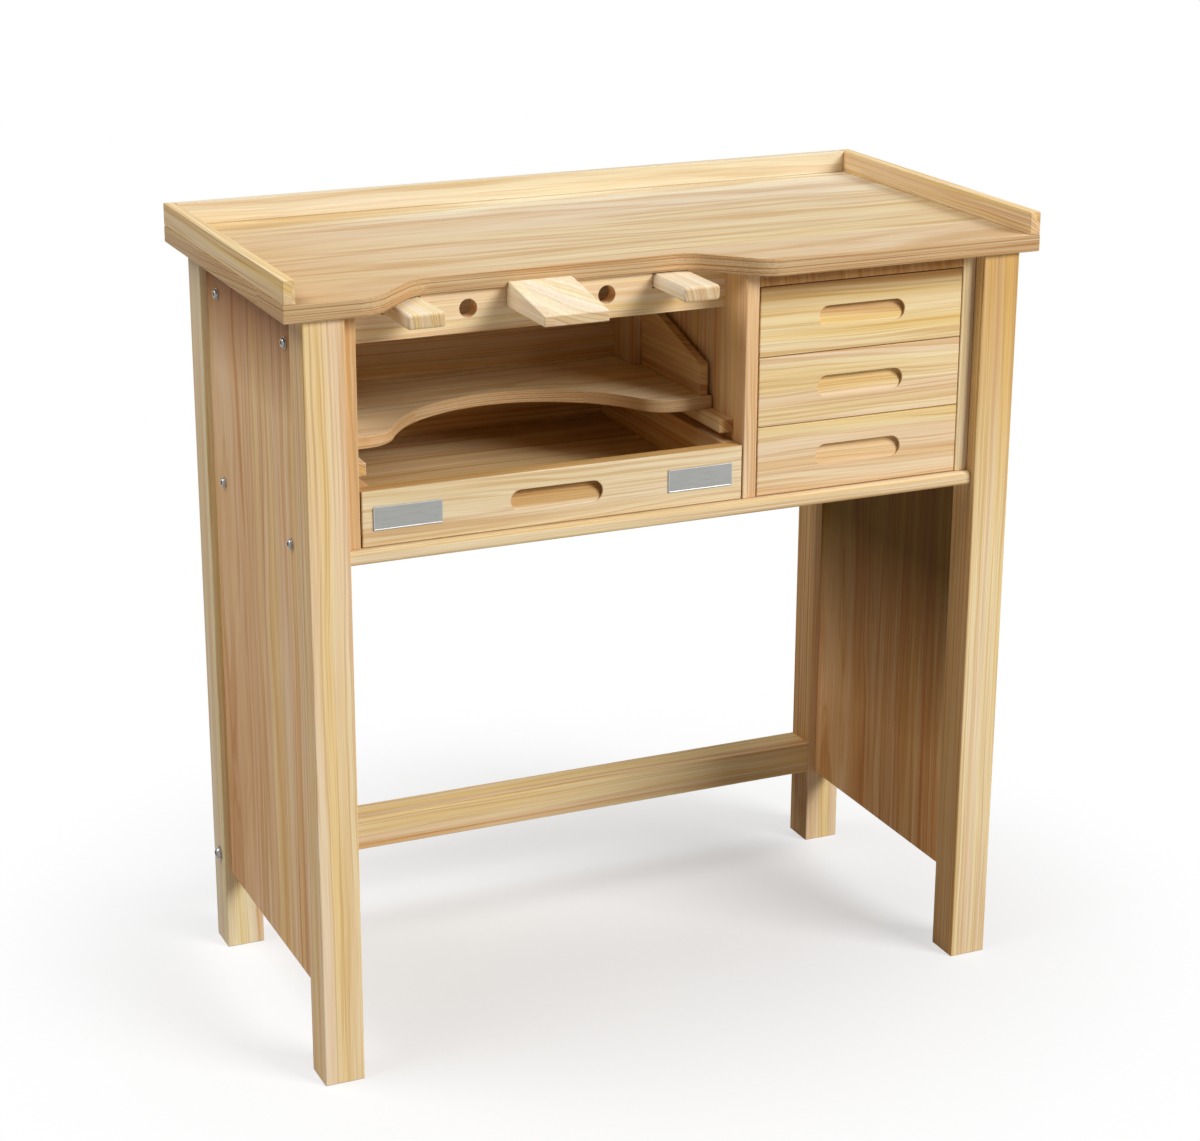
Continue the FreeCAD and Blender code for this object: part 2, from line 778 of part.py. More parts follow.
def make_armrest_guide(name, centre):
    """The open-topped channel under the worktop that an armrest slides in."""
    wall = d.guide_wall
    width = d.arm_wide + d.arm_play * 2 + wall * 2
    bottom = arm_bottom - d.slide_play - d.guide_floor
    high = underside - bottom
    corners = [
        (0, 0), (width, 0), (width, high), (width - wall, high), (width - wall, d.guide_floor),
        (wall, d.guide_floor), (wall, high), (0, high),
    ]
    return keep(moulding(name, (centre - width / 2, apron_rear, bottom), "XZ", corners, d.guide_long,
                         reverse=True))


make_apron()
make_bench_pin()
for side_name, centre in arm_centres.items():
    make_armrest(f"{side_name}_armrest", centre)
    make_armrest_guide(f"{side_name}_armrest_guide", centre)


# --- drawers ------------------------------------------------------------------------------------


def make_drawer_front(name, corner, width, high, thick, groove_z, groove_high, pull_deep):
    """A drawer front, grooved behind for the drawer's bottom, with a routed finger pull.

    The pull is a pill-shaped recess. Its floor is a ramp: deep at the top, where the fingertips
    hook in, and almost level with the face at the bottom.
    """
    inner = thick - d.groove_deep
    body = moulding(name, corner, "YZ", [
        (0, 0), (thick, 0), (thick, groove_z), (inner, groove_z), (inner, groove_z + groove_high),
        (thick, groove_z + groove_high), (thick, high), (0, high),
    ], width)
    soften(body, "Chamfer", d.eased, edges_where(body.Shape, lies_at("Y", corner[1])))
    middle_x = width / 2
    middle_z = high / 2
    recess = new_sketch(body, "XZ")
    pill(recess, middle_x, middle_z, d.pull_wide, d.pull_high)
    cut(body, recess, pull_deep)
    ramp = new_sketch(body, "YZ", middle_x - d.pull_wide / 2)
    low = middle_z - d.pull_high / 2
    polygon(ramp, [(d.pull_lip, low), (pull_deep, low), (pull_deep, low + d.pull_high)])
    pad(body, ramp, d.pull_wide)
    return keep(body)


def make_wide_drawer():
    """The sweeps drawer, which runs on the case's floor and catches filings under the tray."""
    left = bay_left + d.sweeps_side_gap
    right = d.divider_left - d.sweeps_side_gap
    width = right - left
    bottom = case_floor_top + d.sweeps_floor_gap
    side_z = case_floor_top + d.slide_play
    side_high = bottom + d.sweeps_high - side_z
    rear = front + d.sweeps_rear
    box_front = case_face + d.sweeps_front_thick
    groove_high = d.ply + d.ply_play
    make_drawer_front("sweeps_front", (left, case_face, bottom), width, d.sweeps_high,
                      d.sweeps_front_thick, d.groove_up - d.sweeps_floor_gap, groove_high,
                      d.sweeps_pull_deep)
    thick = d.sweeps_side_thick
    low = d.groove_up - d.slide_play
    top = low + groove_high
    inner = thick - d.groove_deep
    keep(moulding("sweeps_left_side", (left + d.sweeps_box_inset, box_front, side_z), "XZ", [
        (0, 0), (thick, 0), (thick, low), (inner, low), (inner, top), (thick, top),
        (thick, side_high), (0, side_high),
    ], rear - box_front, reverse=True))
    right_x = right - d.sweeps_box_inset - thick
    keep(moulding("sweeps_right_side", (right_x, box_front, side_z), "XZ", [
        (0, 0), (thick, 0), (thick, side_high), (0, side_high), (0, top), (d.groove_deep, top),
        (d.groove_deep, low), (0, low),
    ], rear - box_front, reverse=True))
    inside_left = left + d.sweeps_box_inset + thick
    inside_width = right_x - inside_left
    floor_z = case_floor_top + d.groove_up + d.ply_play / 2
    lap = d.groove_deep - d.ply_play
    keep(board("sweeps_back", (inside_left, rear - d.sweeps_back_thick, floor_z + d.ply),
               (inside_width, d.sweeps_back_thick, side_z + side_high - floor_z - d.ply)))
    keep(board("sweeps_bottom", (inside_left - lap, box_front - lap, floor_z),
               (inside_width + lap * 2, rear - box_front + lap, d.ply)))
    plate_z = bottom + (d.sweeps_high - d.plate_high) / 2
    for side_name, plate_x in (
            ("left", left + d.plate_end_gap), ("right", right - d.plate_end_gap - d.plate_wide)):
        keep(board(f"sweeps_{side_name}_plate", (plate_x, case_face - d.plate_thick, plate_z),
                   (d.plate_wide, d.plate_thick, d.plate_high), bevel=d.plate_bevel))


def make_small_drawer(name, bottom):
    """A small drawer. Grooves along the outside of its sides ride on runners in the drawer bay."""
    left = divider_right + d.drawer_side_gap
    width = case_right - d.drawer_side_gap - left
    rear = front + d.drawer_rear
    box_front = case_face + d.drawer_front_thick
    groove_high = d.drawer_ply + d.ply_play
    make_drawer_front(f"{name}_front", (left, case_face, bottom), width, drawer_high,
                      d.drawer_front_thick, d.drawer_side_up + d.drawer_groove_up, groove_high,
                      d.drawer_pull_deep)
    thick = d.drawer_side_thick
    low = d.drawer_groove_up
    top = low + groove_high
    inner = thick - d.groove_deep
    ride_low = d.runner_groove_up
    ride_top = ride_low + d.runner_groove_high
    ride_in = d.runner_groove_deep
    high = d.drawer_side_high
    side_z = bottom + d.drawer_side_up
    left_x = divider_right + d.drawer_box_gap
    right_x = case_right - d.drawer_box_gap - thick
    left_side = moulding(f"{name}_left_side", (left_x, box_front, side_z), "XZ", [
        (0, 0), (thick, 0), (thick, low), (inner, low), (inner, top), (thick, top), (thick, high),
        (0, high), (0, ride_top), (ride_in, ride_top), (ride_in, ride_low), (0, ride_low),
    ], rear - box_front, reverse=True)
    right_side = moulding(f"{name}_right_side", (right_x, box_front, side_z), "XZ", [
        (0, 0), (thick, 0), (thick, ride_low), (thick - ride_in, ride_low),
        (thick - ride_in, ride_top), (thick, ride_top), (thick, high), (0, high),
        (0, top), (d.groove_deep, top), (d.groove_deep, low), (0, low),
    ], rear - box_front, reverse=True)
    group(f"{name}_sides", [left_side, right_side])
    inside_left = left_x + thick
    inside_width = right_x - inside_left
    floor_z = side_z + low + d.ply_play / 2
    lap = d.groove_deep - d.ply_play
    keep(board(f"{name}_back", (inside_left, rear - d.drawer_back_thick, floor_z + d.drawer_ply),
               (inside_width, d.drawer_back_thick, side_z + high - floor_z - d.drawer_ply)))
    keep(board(f"{name}_bottom", (inside_left - lap, box_front - lap, floor_z),
               (inside_width + lap * 2, rear - box_front + lap, d.drawer_ply)))


def make_runners_and_stops():
    """Battens in both walls of the drawer bay for the small drawers, and a stop behind each drawer."""
    runners = []
    stops = []
    run_front = case_face + d.drawer_front_thick + d.runner_play
    thick = d.runner_groove_high - d.runner_play
    for name, bottom in drawer_bottoms.items():
        ride = bottom + d.drawer_side_up + d.runner_groove_up + d.runner_play - d.slide_play
        for side_name, x in (("left", divider_right), ("right", case_right - d.runner_out)):
            runners.append(board(f"{name}_{side_name}_runner", (x, run_front, ride),
                                 (d.runner_out, back_face - run_front, thick)))
        stop_y = front + d.drawer_rear + d.stop_slack
        stop_x = (divider_right + case_right - d.stop_wide) / 2
        stops.append(board(f"{name}_stop", (stop_x, stop_y, bottom + d.stop_high),
                           (d.stop_wide, back_face - stop_y, d.stop_high)))
    stop_y = front + d.sweeps_rear + d.stop_slack
    stop_x = (bay_left + d.divider_left - d.stop_wide) / 2
    stops.append(board("sweeps_stop", (stop_x, stop_y, case_floor_top + d.stop_high),
                       (d.stop_wide, back_face - stop_y, d.stop_high)))
    group("drawer_runners", runners)
    group("drawer_stops", stops)


drawer_high = (bay_top - case_floor_top - d.drawer_gap * 4) / 3
drawer_bottoms = {
    name: case_floor_top + d.drawer_gap + (drawer_high + d.drawer_gap) * level
    for level, name in enumerate(("bottom_drawer", "middle_drawer", "top_drawer"))
}
make_wide_drawer()
for drawer_name, drawer_bottom in drawer_bottoms.items():
    make_small_drawer(drawer_name, drawer_bottom)
make_runners_and_stops()


# --- catch tray ---------------------------------------------------------------------------------

tray_left = bay_left + d.tray_side_gap
tray_wide = d.divider_left - d.tray_side_gap - tray_left
tray_long = d.tray_back - d.tray_front
tray_bottom = d.runner_top + d.slide_play
tray_top = tray_bottom + d.tray_thick


def make_tray_floor():
    """The tray's floor, with the deep round cut-out in its front edge.

    One large arc is tangent to a corner arc at each end. The corner arc's centre stands its own radius
    behind the front edge, and as far from the large arc's centre as the two radii added up.
    """
    body = new_body("tray_floor", tray_left, front + d.tray_front, tray_bottom)
    sketch = new_sketch(body, "XY")
    wide = tray_wide.number
    long = tray_long.number
    large = d.tray_arc_radius.number
    small = d.tray_corner_radius.number
    middle = wide / 2 + d.tray_arc_shift.number
    below = large - d.tray_arc_depth.number
    reach = math.sqrt((large + small) ** 2 - (small + below) ** 2)
    lean = math.degrees(math.atan2(small + below, reach))
    left = middle - reach
    right = middle + reach
    chain(sketch, [
        (line(0, long, 0, 0), False),
        (line(0, 0, left, 0), False),
        (arc(left, small, small, -90, -lean), False),
        (arc(middle, -below, large, lean, 180 - lean), True),
        (arc(right, small, small, 180 + lean, 270), False),
        (line(right, 0, wide, 0), False),
        (line(wide, 0, wide, long), False),
        (line(wide, long, 0, long), False),
    ])
    for side in (1, 5, 7):
        sketch.addConstraint(Sketcher.Constraint("Horizontal", side))
    for side in (0, 6):
        sketch.addConstraint(Sketcher.Constraint("Vertical", side))
    hold(sketch, "Radius", 2, d.tray_corner_radius)
    hold(sketch, "Radius", 3, d.tray_arc_radius)
    hold(sketch, "Radius", 4, d.tray_corner_radius)
    hold_point(sketch, 0, 2, 0, 0)
    hold_point(sketch, 6, 1, tray_wide, 0)
    hold_level(sketch, "DistanceY", 7, 1, tray_long)
    hold_point(sketch, 3, 3, tray_wide / 2 + d.tray_arc_shift, d.tray_arc_depth - d.tray_arc_radius)
    pad(body, sketch, d.tray_thick)
    return keep(body)


def make_tray_walls():
    """The tray's two side walls, which rise towards the back, its back wall and two corner blocks."""
    thick = d.tray_wall_thick
    profile = [
        (d.tray_wall_front, 0), (tray_long, 0), (tray_long, d.tray_wall_high),
        (d.tray_wall_front + d.tray_wall_run, d.tray_wall_high), (d.tray_wall_front, d.tray_wall_low),
    ]
    left = tray_left + d.tray_wall_inset
    right = tray_left + tray_wide - d.tray_wall_inset - thick
    for name, x in (("tray_left_wall", left), ("tray_right_wall", right)):
        keep(moulding(name, (x, front + d.tray_front, tray_top), "YZ", profile, thick))
    inside = left + thick
    back_y = front + d.tray_back - d.tray_back_thick
    keep(board("tray_back_wall", (inside, back_y, tray_top),
               (right - inside, d.tray_back_thick, d.tray_wall_high)))
    block_y = back_y - d.corner_block_long
    blocks = [
        board(f"tray_{side_name}_block", (x, block_y, tray_top),
              (thick, d.corner_block_long, d.corner_block_high))
        for side_name, x in (("left", inside), ("right", right - thick))
    ]
    group("tray_corner_blocks", blocks)


def make_tray_runners():
    """The two runners that carry the tray, on the case's left side and on the divider."""
    runner_y = front + d.runner_front
    for name, x in (("left_tray_runner", bay_left),
                    ("right_tray_runner", d.divider_left - d.runner_wide)):
        keep(board(name, (x, runner_y, d.runner_top - d.runner_high),
                   (d.runner_wide, back_face - runner_y, d.runner_high)))


make_tray_floor()
make_tray_walls()
make_tray_runners()


# --- checks and export --------------------------------------------------------------------------

doc.recompute()
for item in doc.Objects:
    if any(state in ("Invalid", "Error") for state in item.State):
        raise RuntimeError(f"{item.Label} failed: {item.State}")
names = [item.Label for item in NODES]
if len(set(names)) != len(names):
    raise RuntimeError("two pieces share a name")
for item in NODES:
    if item.Shape.isNull() or not item.Shape.isValid():
        raise RuntimeError(f"{item.Label} has no valid shape")

os.makedirs("parts", exist_ok=True)
for item in NODES:
    item.Shape.exportStep(f"parts/{item.Label}.step")
    box = item.Shape.BoundBox
    print(f"{item.Label}: {len(item.Shape.Solids)} solid(s), "
          f"{box.XLength:.1f} x {box.YLength:.1f} x {box.ZLength:.1f} mm")
print(f"{len(NODES)} pieces written")
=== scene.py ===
# %% [markdown]
# # A jeweller's bench
#
# A jeweller works close up, so the bench is high, its top has a bay cut into
# the front edge for the body, and a wooden pin sticks out of that bay to file
# and saw on. Below the bay a shallow tray and a wide drawer catch the metal
# dust. Raised edges keep small parts from rolling off the top.
#
# The pieces come in as a fixed frame from the CAD model, each one at its real
# size and place in metres. This lesson adds what the CAD model lacks: lacquered
# pine, birch plywood, brushed steel plates, bolts, light and a camera.

# %% Load the bench
import math

import bpy
import numpy as np
from mathutils import Matrix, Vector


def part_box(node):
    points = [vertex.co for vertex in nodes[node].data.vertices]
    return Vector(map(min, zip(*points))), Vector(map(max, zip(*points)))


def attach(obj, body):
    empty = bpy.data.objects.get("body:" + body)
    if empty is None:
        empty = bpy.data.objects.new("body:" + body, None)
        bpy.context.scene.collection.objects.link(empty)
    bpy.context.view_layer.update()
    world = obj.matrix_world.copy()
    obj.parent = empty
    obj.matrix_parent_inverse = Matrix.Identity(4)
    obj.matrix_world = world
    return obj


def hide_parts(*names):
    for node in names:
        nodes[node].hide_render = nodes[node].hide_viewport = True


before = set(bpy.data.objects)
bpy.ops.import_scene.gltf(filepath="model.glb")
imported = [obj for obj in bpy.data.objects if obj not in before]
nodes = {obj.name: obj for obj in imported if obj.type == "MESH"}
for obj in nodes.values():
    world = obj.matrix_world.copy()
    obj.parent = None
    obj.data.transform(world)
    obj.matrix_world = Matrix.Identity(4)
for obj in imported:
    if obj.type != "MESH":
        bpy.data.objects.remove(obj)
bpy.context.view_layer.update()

# %% [markdown]
# ## Colours and nodes
#
# A colour picked from a paint card or a screen is stored as sRGB, in which the
# numbers are squeezed to suit the eye. Cycles counts light, so it needs linear
# numbers. One function does that turn, and every colour below goes through it.
#
# Each material is a small machine of nodes. One function adds a node, sets it
# and wires it up, and fills it where it is a colour ramp. That keeps a material
# readable as a list of its parts.

# %% The colour function
def linear(code):
    """RGBA of an sRGB hex code: c is c / 12.92 up to 0.04045, and ((c + 0.055) / 1.055) ^ 2.4 above."""
    channels = np.array([int(code[i:i + 2], 16) for i in (1, 3, 5)]) / 255
    light = np.where(channels <= 0.04045, channels / 12.92, ((channels + 0.055) / 1.055) ** 2.4)
    return (*light.tolist(), 1.0)


print("#E8CB93 is", [round(c, 3) for c in linear("#E8CB93")[:3]], "in linear light")

# %% The node function
def add(tree, kind, inputs=None, stops=(), **settings):
    """Adds one shader node, for example kind "Mix" for a ShaderNodeMix.

    inputs maps a socket's name or number to a value, a node or another node's socket. stops gives a colour
    ramp's positions and hex codes, from left to right.
    """
    made = tree.nodes.new("ShaderNode" + kind)
    for name, value in settings.items():
        setattr(made, name, value)
    for key, value in (inputs or {}).items():
        if isinstance(value, bpy.types.Node):
            value = value.outputs[0]
        if isinstance(value, bpy.types.NodeSocket):
            tree.links.new(value, made.inputs[key])
        else:
            made.inputs[key].default_value = value
    for count, (position, code) in enumerate(stops):
        elements = made.color_ramp.elements
        element = elements[count] if count < len(elements) else elements.new(position)
        element.position, element.color = position, linear(code)
    return made


def new_material(name):
    """An empty material with its node tree and its output node."""
    material = bpy.data.materials.new(name)
    material.use_nodes = True
    material.node_tree.nodes.clear()
    return material, material.node_tree, material.node_tree.nodes.new("ShaderNodeOutputMaterial")


print("nodes are added by one function")

# %% [markdown]
# ## The camera
#
# The bench is seen from its left front corner, from above the worktop, with a
# long lens. The turn is given as three directions: the lens looks along the
# third one, backwards. A long lens a good three metres away keeps the legs
# nearly parallel, so the bench looks as it does to somebody across a room.

# %% Place the camera
YAW, PITCH, ROLL = (math.radians(a) for a in (23.152, -18.432, -0.103))
FOCAL_PIXELS, WIDE, HIGH = 2723.47, 1200, 1141
CENTRE_PIXEL = (557.42, 561.35)
CAMERA_PLACE = (-1.31238, -2.92786, 1.59462)
SENSOR = 36

forward = np.array([math.sin(YAW) * math.cos(PITCH), math.cos(YAW) * math.cos(PITCH), math.sin(PITCH)])
right = np.cross(forward, [0, 0, 1])
right /= np.linalg.norm(right)
up = np.cross(right, forward)
turn = np.column_stack([
    right * math.cos(ROLL) + up * math.sin(ROLL),
    up * math.cos(ROLL) - right * math.sin(ROLL),
    -forward,
])

camera = bpy.data.objects.new("camera", bpy.data.cameras.new("camera"))
bpy.context.scene.collection.objects.link(camera)
bpy.context.scene.camera = camera
place = np.eye(4)
place[:3, :3] = turn
place[:3, 3] = CAMERA_PLACE
camera.matrix_world = Matrix(place.tolist())
camera.data.sensor_width = SENSOR
camera.data.lens = FOCAL_PIXELS * SENSOR / WIDE
camera.data.shift_x = (WIDE / 2 - CENTRE_PIXEL[0]) / WIDE
camera.data.shift_y = (CENTRE_PIXEL[1] - HIGH / 2) / WIDE
print("lens", round(camera.data.lens, 1), "mm, shift", round(camera.data.shift_x, 4),
      round(camera.data.shift_y, 4))

# %% [markdown]
# ## Floor and backdrop
#
# The bench stands on a pale studio floor that runs out into white. The floor
# is matt paint, a plain diffuse surface, so it takes the bench's soft shadow.
# Away from the bench the eye sees plain white instead: a round fade mixes in
# white of strength 1. Only rays from the camera, from gloss and through glass
# find it, so no light is added to the bench. For all other rays the paint is
# a light grey, because a white floor would light the bench from below.

# %% Make the floor
FLOOR_HALF = 12.0
FLOOR_SEEN, FLOOR_BOUNCE = "#F2F2F2", "#BEBEBE"
FADE_FROM, FADE_TO, FADE_LEAST = 0.20, 0.90, 0.48
floor_mesh = bpy.data.meshes.new("floor")
floor_mesh.from_pydata(
    [(x * FLOOR_HALF, y * FLOOR_HALF, 0) for x, y in ((-1, -1), (1, -1), (1, 1), (-1, 1))],
    [], [(0, 1, 2, 3)])
floor = bpy.data.objects.new("floor", floor_mesh)
bpy.context.scene.collection.objects.link(floor)

floor_paint, tree, output = new_material("pale_matt_studio_floor")
seen = add(tree, "LightPath")
sharp = add(tree, "Math", {0: seen.outputs["Is Camera Ray"], 1: seen.outputs["Is Glossy Ray"]},
            operation="MAXIMUM")
sharp = add(tree, "Math", {0: sharp, 1: seen.outputs["Is Transmission Ray"]}, operation="MAXIMUM")
tone = add(tree, "Mix", {0: sharp, 6: linear(FLOOR_BOUNCE), 7: linear(FLOOR_SEEN)}, data_type="RGBA")
paint = add(tree, "BsdfDiffuse", {"Color": tone.outputs[2]})
white = add(tree, "Emission", {"Color": (1, 1, 1, 1), "Strength": 1.0})
where = add(tree, "TexCoord")
radius = add(tree, "VectorMath", {0: where.outputs["Object"]}, operation="LENGTH")
fade = add(tree, "MapRange", {"Value": radius.outputs["Value"], "From Min": FADE_FROM, "From Max": FADE_TO,
                              "To Min": FADE_LEAST, "To Max": 1.0}, interpolation_type="SMOOTHSTEP")
mask = add(tree, "Math", {0: fade, 1: sharp}, operation="MULTIPLY")
mixed = add(tree, "MixShader", {0: mask, 1: paint, 2: white})
tree.links.new(mixed.outputs[0], output.inputs["Surface"])
floor_mesh.materials.append(floor_paint)
print("floor", 2 * FLOOR_HALF, "m wide, white from", FADE_TO, "m out")

# %% [markdown]
# ## Light
#
# The world is a dim, even room that hardly fills the shadows. A large lamp in
# front on the right lights the fronts, and a larger one high on the left
# lights the top and the left side. Both hang so high that each overhang casts
# a shadow below it, and their size makes the edges of the shadows soft. The
# floor throws a little light back up under the bench.

# %% Make the world
AMBIENT = 0.03
world = bpy.data.worlds.new("white_room")
bpy.context.scene.world = world
world.use_nodes = True
tree = world.node_tree
tree.nodes.clear()
output = tree.nodes.new("ShaderNodeOutputWorld")
seen = add(tree, "LightPath")
sharp = add(tree, "Math", {0: seen.outputs["Is Camera Ray"], 1: seen.outputs["Is Glossy Ray"]},
            operation="MAXIMUM")
sharp = add(tree, "Math", {0: sharp, 1: seen.outputs["Is Transmission Ray"]}, operation="MAXIMUM")
room = add(tree, "Background", {"Color": (1, 1, 1, 1), "Strength": AMBIENT})
white = add(tree, "Background", {"Color": (1, 1, 1, 1), "Strength": 1.0})
mixed = add(tree, "MixShader", {0: sharp, 1: room, 2: white})
tree.links.new(mixed.outputs[0], output.inputs["Surface"])
print("the room shines at", AMBIENT)

# %% Hang the lamps
def lamp(name, place, aim, size, level):
    """A square area lamp at place, facing aim, of size metres. level is how bright a white card looks at aim.

    A card that faces a lamp of P watts at d metres looks P / (pi d)^2 bright, so P = level (pi d)^2.
    """
    light = bpy.data.lights.new(name, "AREA")
    light.shape, light.size = "SQUARE", size
    light.energy = level * (math.pi * math.dist(place, aim)) ** 2
    obj = bpy.data.objects.new(name, light)
    bpy.context.scene.collection.objects.link(obj)
    away = np.subtract(place, aim)
    back = away / np.linalg.norm(away)
    side = np.cross([0, 0, 1], back)
    side /= np.linalg.norm(side)
    matrix = np.eye(4)
    matrix[:3, :3] = np.column_stack([side, np.cross(back, side), back])
    matrix[:3, 3] = place
    obj.matrix_world = Matrix(matrix.tolist())
    obj.visible_camera = False
    print(name, round(light.energy), "W,", round(math.dist(place, aim), 2), "m away,", size, "m wide")


lamp("front_softbox", (3.7, -5.3, 4.7), (0, 0, 0.6), 3.4, 0.95)
lamp("left_softbox", (-3.8, 0.5, 6.5), (0, 0, 0.6), 4.6, 0.66)

# %% [markdown]
# ## Lacquered pine
#
# The bench is glued up from pale, straight-grained pine, planed and finished
# with a satin lacquer. The eye gets five things from it: hues of cream, tan
# and pinkish brown that change every two centimetres; streaks just under a
# centimetre wide that run the whole length of a board; the fine dark lines of
# late wood; short fibres that break the light; and edges that sandpaper has
# rounded and hands have rubbed pale, with a painted highlight along them.
#
# A real board is cut out of a tree, so the pattern is worked out in space, not
# painted on each face. The distance from a pith line that runs along the grain
# gives the growth rings. Long faces then show lines and end faces show arcs,
# and they meet at the edges as they do in wood. Noise that is stretched along
# the grain makes the rings wander.
#
# Each glued strip comes from another tree. So noise of the strip's own moves
# its pattern by up to STRIPS_APART metres and its pith by up to PITH_MOVES
# metres, and puts its bands in a lane of their own.
#
# Each part of the pattern has a size in millimetres. Pine's fibres are about a
# thirtieth of a millimetre wide, too fine to show, so they are drawn as bundles
# 1.3 mm wide and ninety times as long.

# %% The sizes of the grain
MILLI = 0.001
HUE_WIDE, STREAK_WIDE, LINE_WIDE, FIBRE_WIDE = 18 * MILLI, 8 * MILLI, 1.7 * MILLI, 1.3 * MILLI
HUE_LONG, STREAK_LONG, LINE_LONG, FIBRE_LONG = 1.6, 1.0, 0.45, 90 * FIBRE_WIDE
seed = np.random.RandomState(7)
print("streaks", STREAK_WIDE / MILLI, "mm, lines", LINE_WIDE / MILLI, "mm, fibres", FIBRE_WIDE / MILLI, "mm")

# %% Strips and growth rings
STRIPS_APART = (0.25, 0.15, 7.0)
PITH_MOVES = (0.02, 0.05, 0.0)
SLOW_PER_METRE = (14.0, 14.0, 2.6)


def glued_strips(tree, u, strip, start):
    """Cuts a board into strips, strip metres wide: number floor(u / strip + start).

    Gives the place within a strip, in metres, and a node of noise that is each strip's own.
    """
    number = add(tree, "Math", {0: u, 1: 1 / strip, 2: start}, operation="MULTIPLY_ADD")
    within = add(tree, "Math", {0: number}, operation="FRACT")
    within = add(tree, "Math", {0: within, 1: strip}, operation="MULTIPLY")
    number = add(tree, "Math", {0: number}, operation="FLOOR")
    return within, add(tree, "TexWhiteNoise", {"W": number}, noise_dimensions="1D")


def ring_distance(tree, within, v, grain, own, start, pith, wander):
    """The distance r = |(within, v) + own move - pith| + wander x slow noise, in metres."""
    slow = add(tree, "VectorMath", {0: grain, 1: SLOW_PER_METRE, 2: start}, operation="MULTIPLY_ADD")
    slow = add(tree, "TexNoise", {"Vector": slow, "Scale": 1.0, "Detail": 3.0, "Roughness": 0.42})
    slow = add(tree, "Math", {0: slow, 1: wander}, operation="MULTIPLY")
    ring = add(tree, "CombineXYZ", {0: within, 1: v})
    ring = add(tree, "VectorMath", {0: own.outputs["Color"], 1: PITH_MOVES, 2: ring},
               operation="MULTIPLY_ADD")
    ring = add(tree, "VectorMath", {0: ring, 1: pith}, operation="DISTANCE")
    return add(tree, "Math", {0: ring.outputs["Value"], 1: slow}, operation="ADD")


def bands(tree, ring, w, lane, width, length, detail):
    """Noise of (r / width, w / length, lane): bands width metres across the rings and length metres long."""
    over = add(tree, "Math", {0: ring, 1: width}, operation="DIVIDE")
    down = add(tree, "Math", {0: w, 1: length}, operation="DIVIDE")
    vector = add(tree, "CombineXYZ", {0: over, 1: down, 2: lane})
    return add(tree, "TexNoise", {"Vector": vector, "Scale": 1.0, "Detail": detail, "Roughness": 0.6})


print("strips, rings and bands are ready")

# %% [markdown]
# ## Colour of the wood
#
# The streaks choose among a board's four tones. Wider bands then lean them
# towards yellow or towards pink, as heartwood and sapwood do. Tints are
# painted light: each darkens one end or one side of a board, from the place
# where it starts to the place where it is full. They are painted shade under
# the worktop's overhang, under the case, in the pulls and on the top's left
# end, and a painted sheen that leaves the back of the top lighter.

# %% Tones, hues and tints
TONE_PLACES = (0.30, 0.42, 0.54, 0.70)
HUES = ((0.30, "#FFEFBE"), (0.44, "#FFF8E4"), (0.56, "#FCF0E8"), (0.70, "#F4DABA"))


def wood_colour(tree, where, streaks, hues, tones, hue, painted_light_tints):
    """The tone at the streak's noise, times the hue by the share hue, times each tint.

    A tint is an axis, the place where it starts, the place where it is full, its colour, and the direction
    that its faces look in, or None for all of them.
    """
    tone = add(tree, "ValToRGB", {0: streaks}, stops=zip(TONE_PLACES, tones))
    lean = add(tree, "ValToRGB", {0: hues}, stops=HUES)
    colour = add(tree, "Mix", {0: hue, 6: tone, 7: lean}, data_type="RGBA", blend_type="MULTIPLY")
    split = add(tree, "SeparateXYZ", {0: where.outputs["Object"]})
    # Each tint is painted shade or sheen, multiplied into the colour.
    for axis, start_at, full_at, tint, way in painted_light_tints:
        reached = add(tree, "MapRange", {"Value": split.outputs[axis], "From Min": start_at,
                                         "From Max": full_at})
        if way:
            faces = add(tree, "VectorMath", {0: where.outputs["Normal"], 1: way}, operation="DOT_PRODUCT")
            reached = add(tree, "Math", {0: reached, 1: faces.outputs["Value"]}, operation="MULTIPLY",
                          use_clamp=True)
        colour = add(tree, "Mix", {0: reached, 6: colour.outputs[2], 7: linear(tint)}, data_type="RGBA",
                     blend_type="MULTIPLY")
    return colour


print(len(HUES), "hues lean", len(TONE_PLACES), "tones")

# %% [markdown]
# ## Shade of the wood
#
# Late wood and fibres darken the surface. End grain drinks more lacquer than
# a planed face, so it is darker as a whole, and its lines stand out more. The
# faces across the grain's first axis are darker too, and their lines stand out
# more: on the legs that is painted shade on their sides. Where wood darkens it
# turns warmer too: blue falls fastest and red slowest, which a power of the
# shade for each of the three gives; on the painted shade that is a painted
# warm shadow.

# %% Lines, fibres and layers
RED_POWER, GREEN_POWER, BLUE_POWER = 0.55, 1.0, 1.6
EARLY_WOOD = 1.03
CROSSED_PLY = 0.72


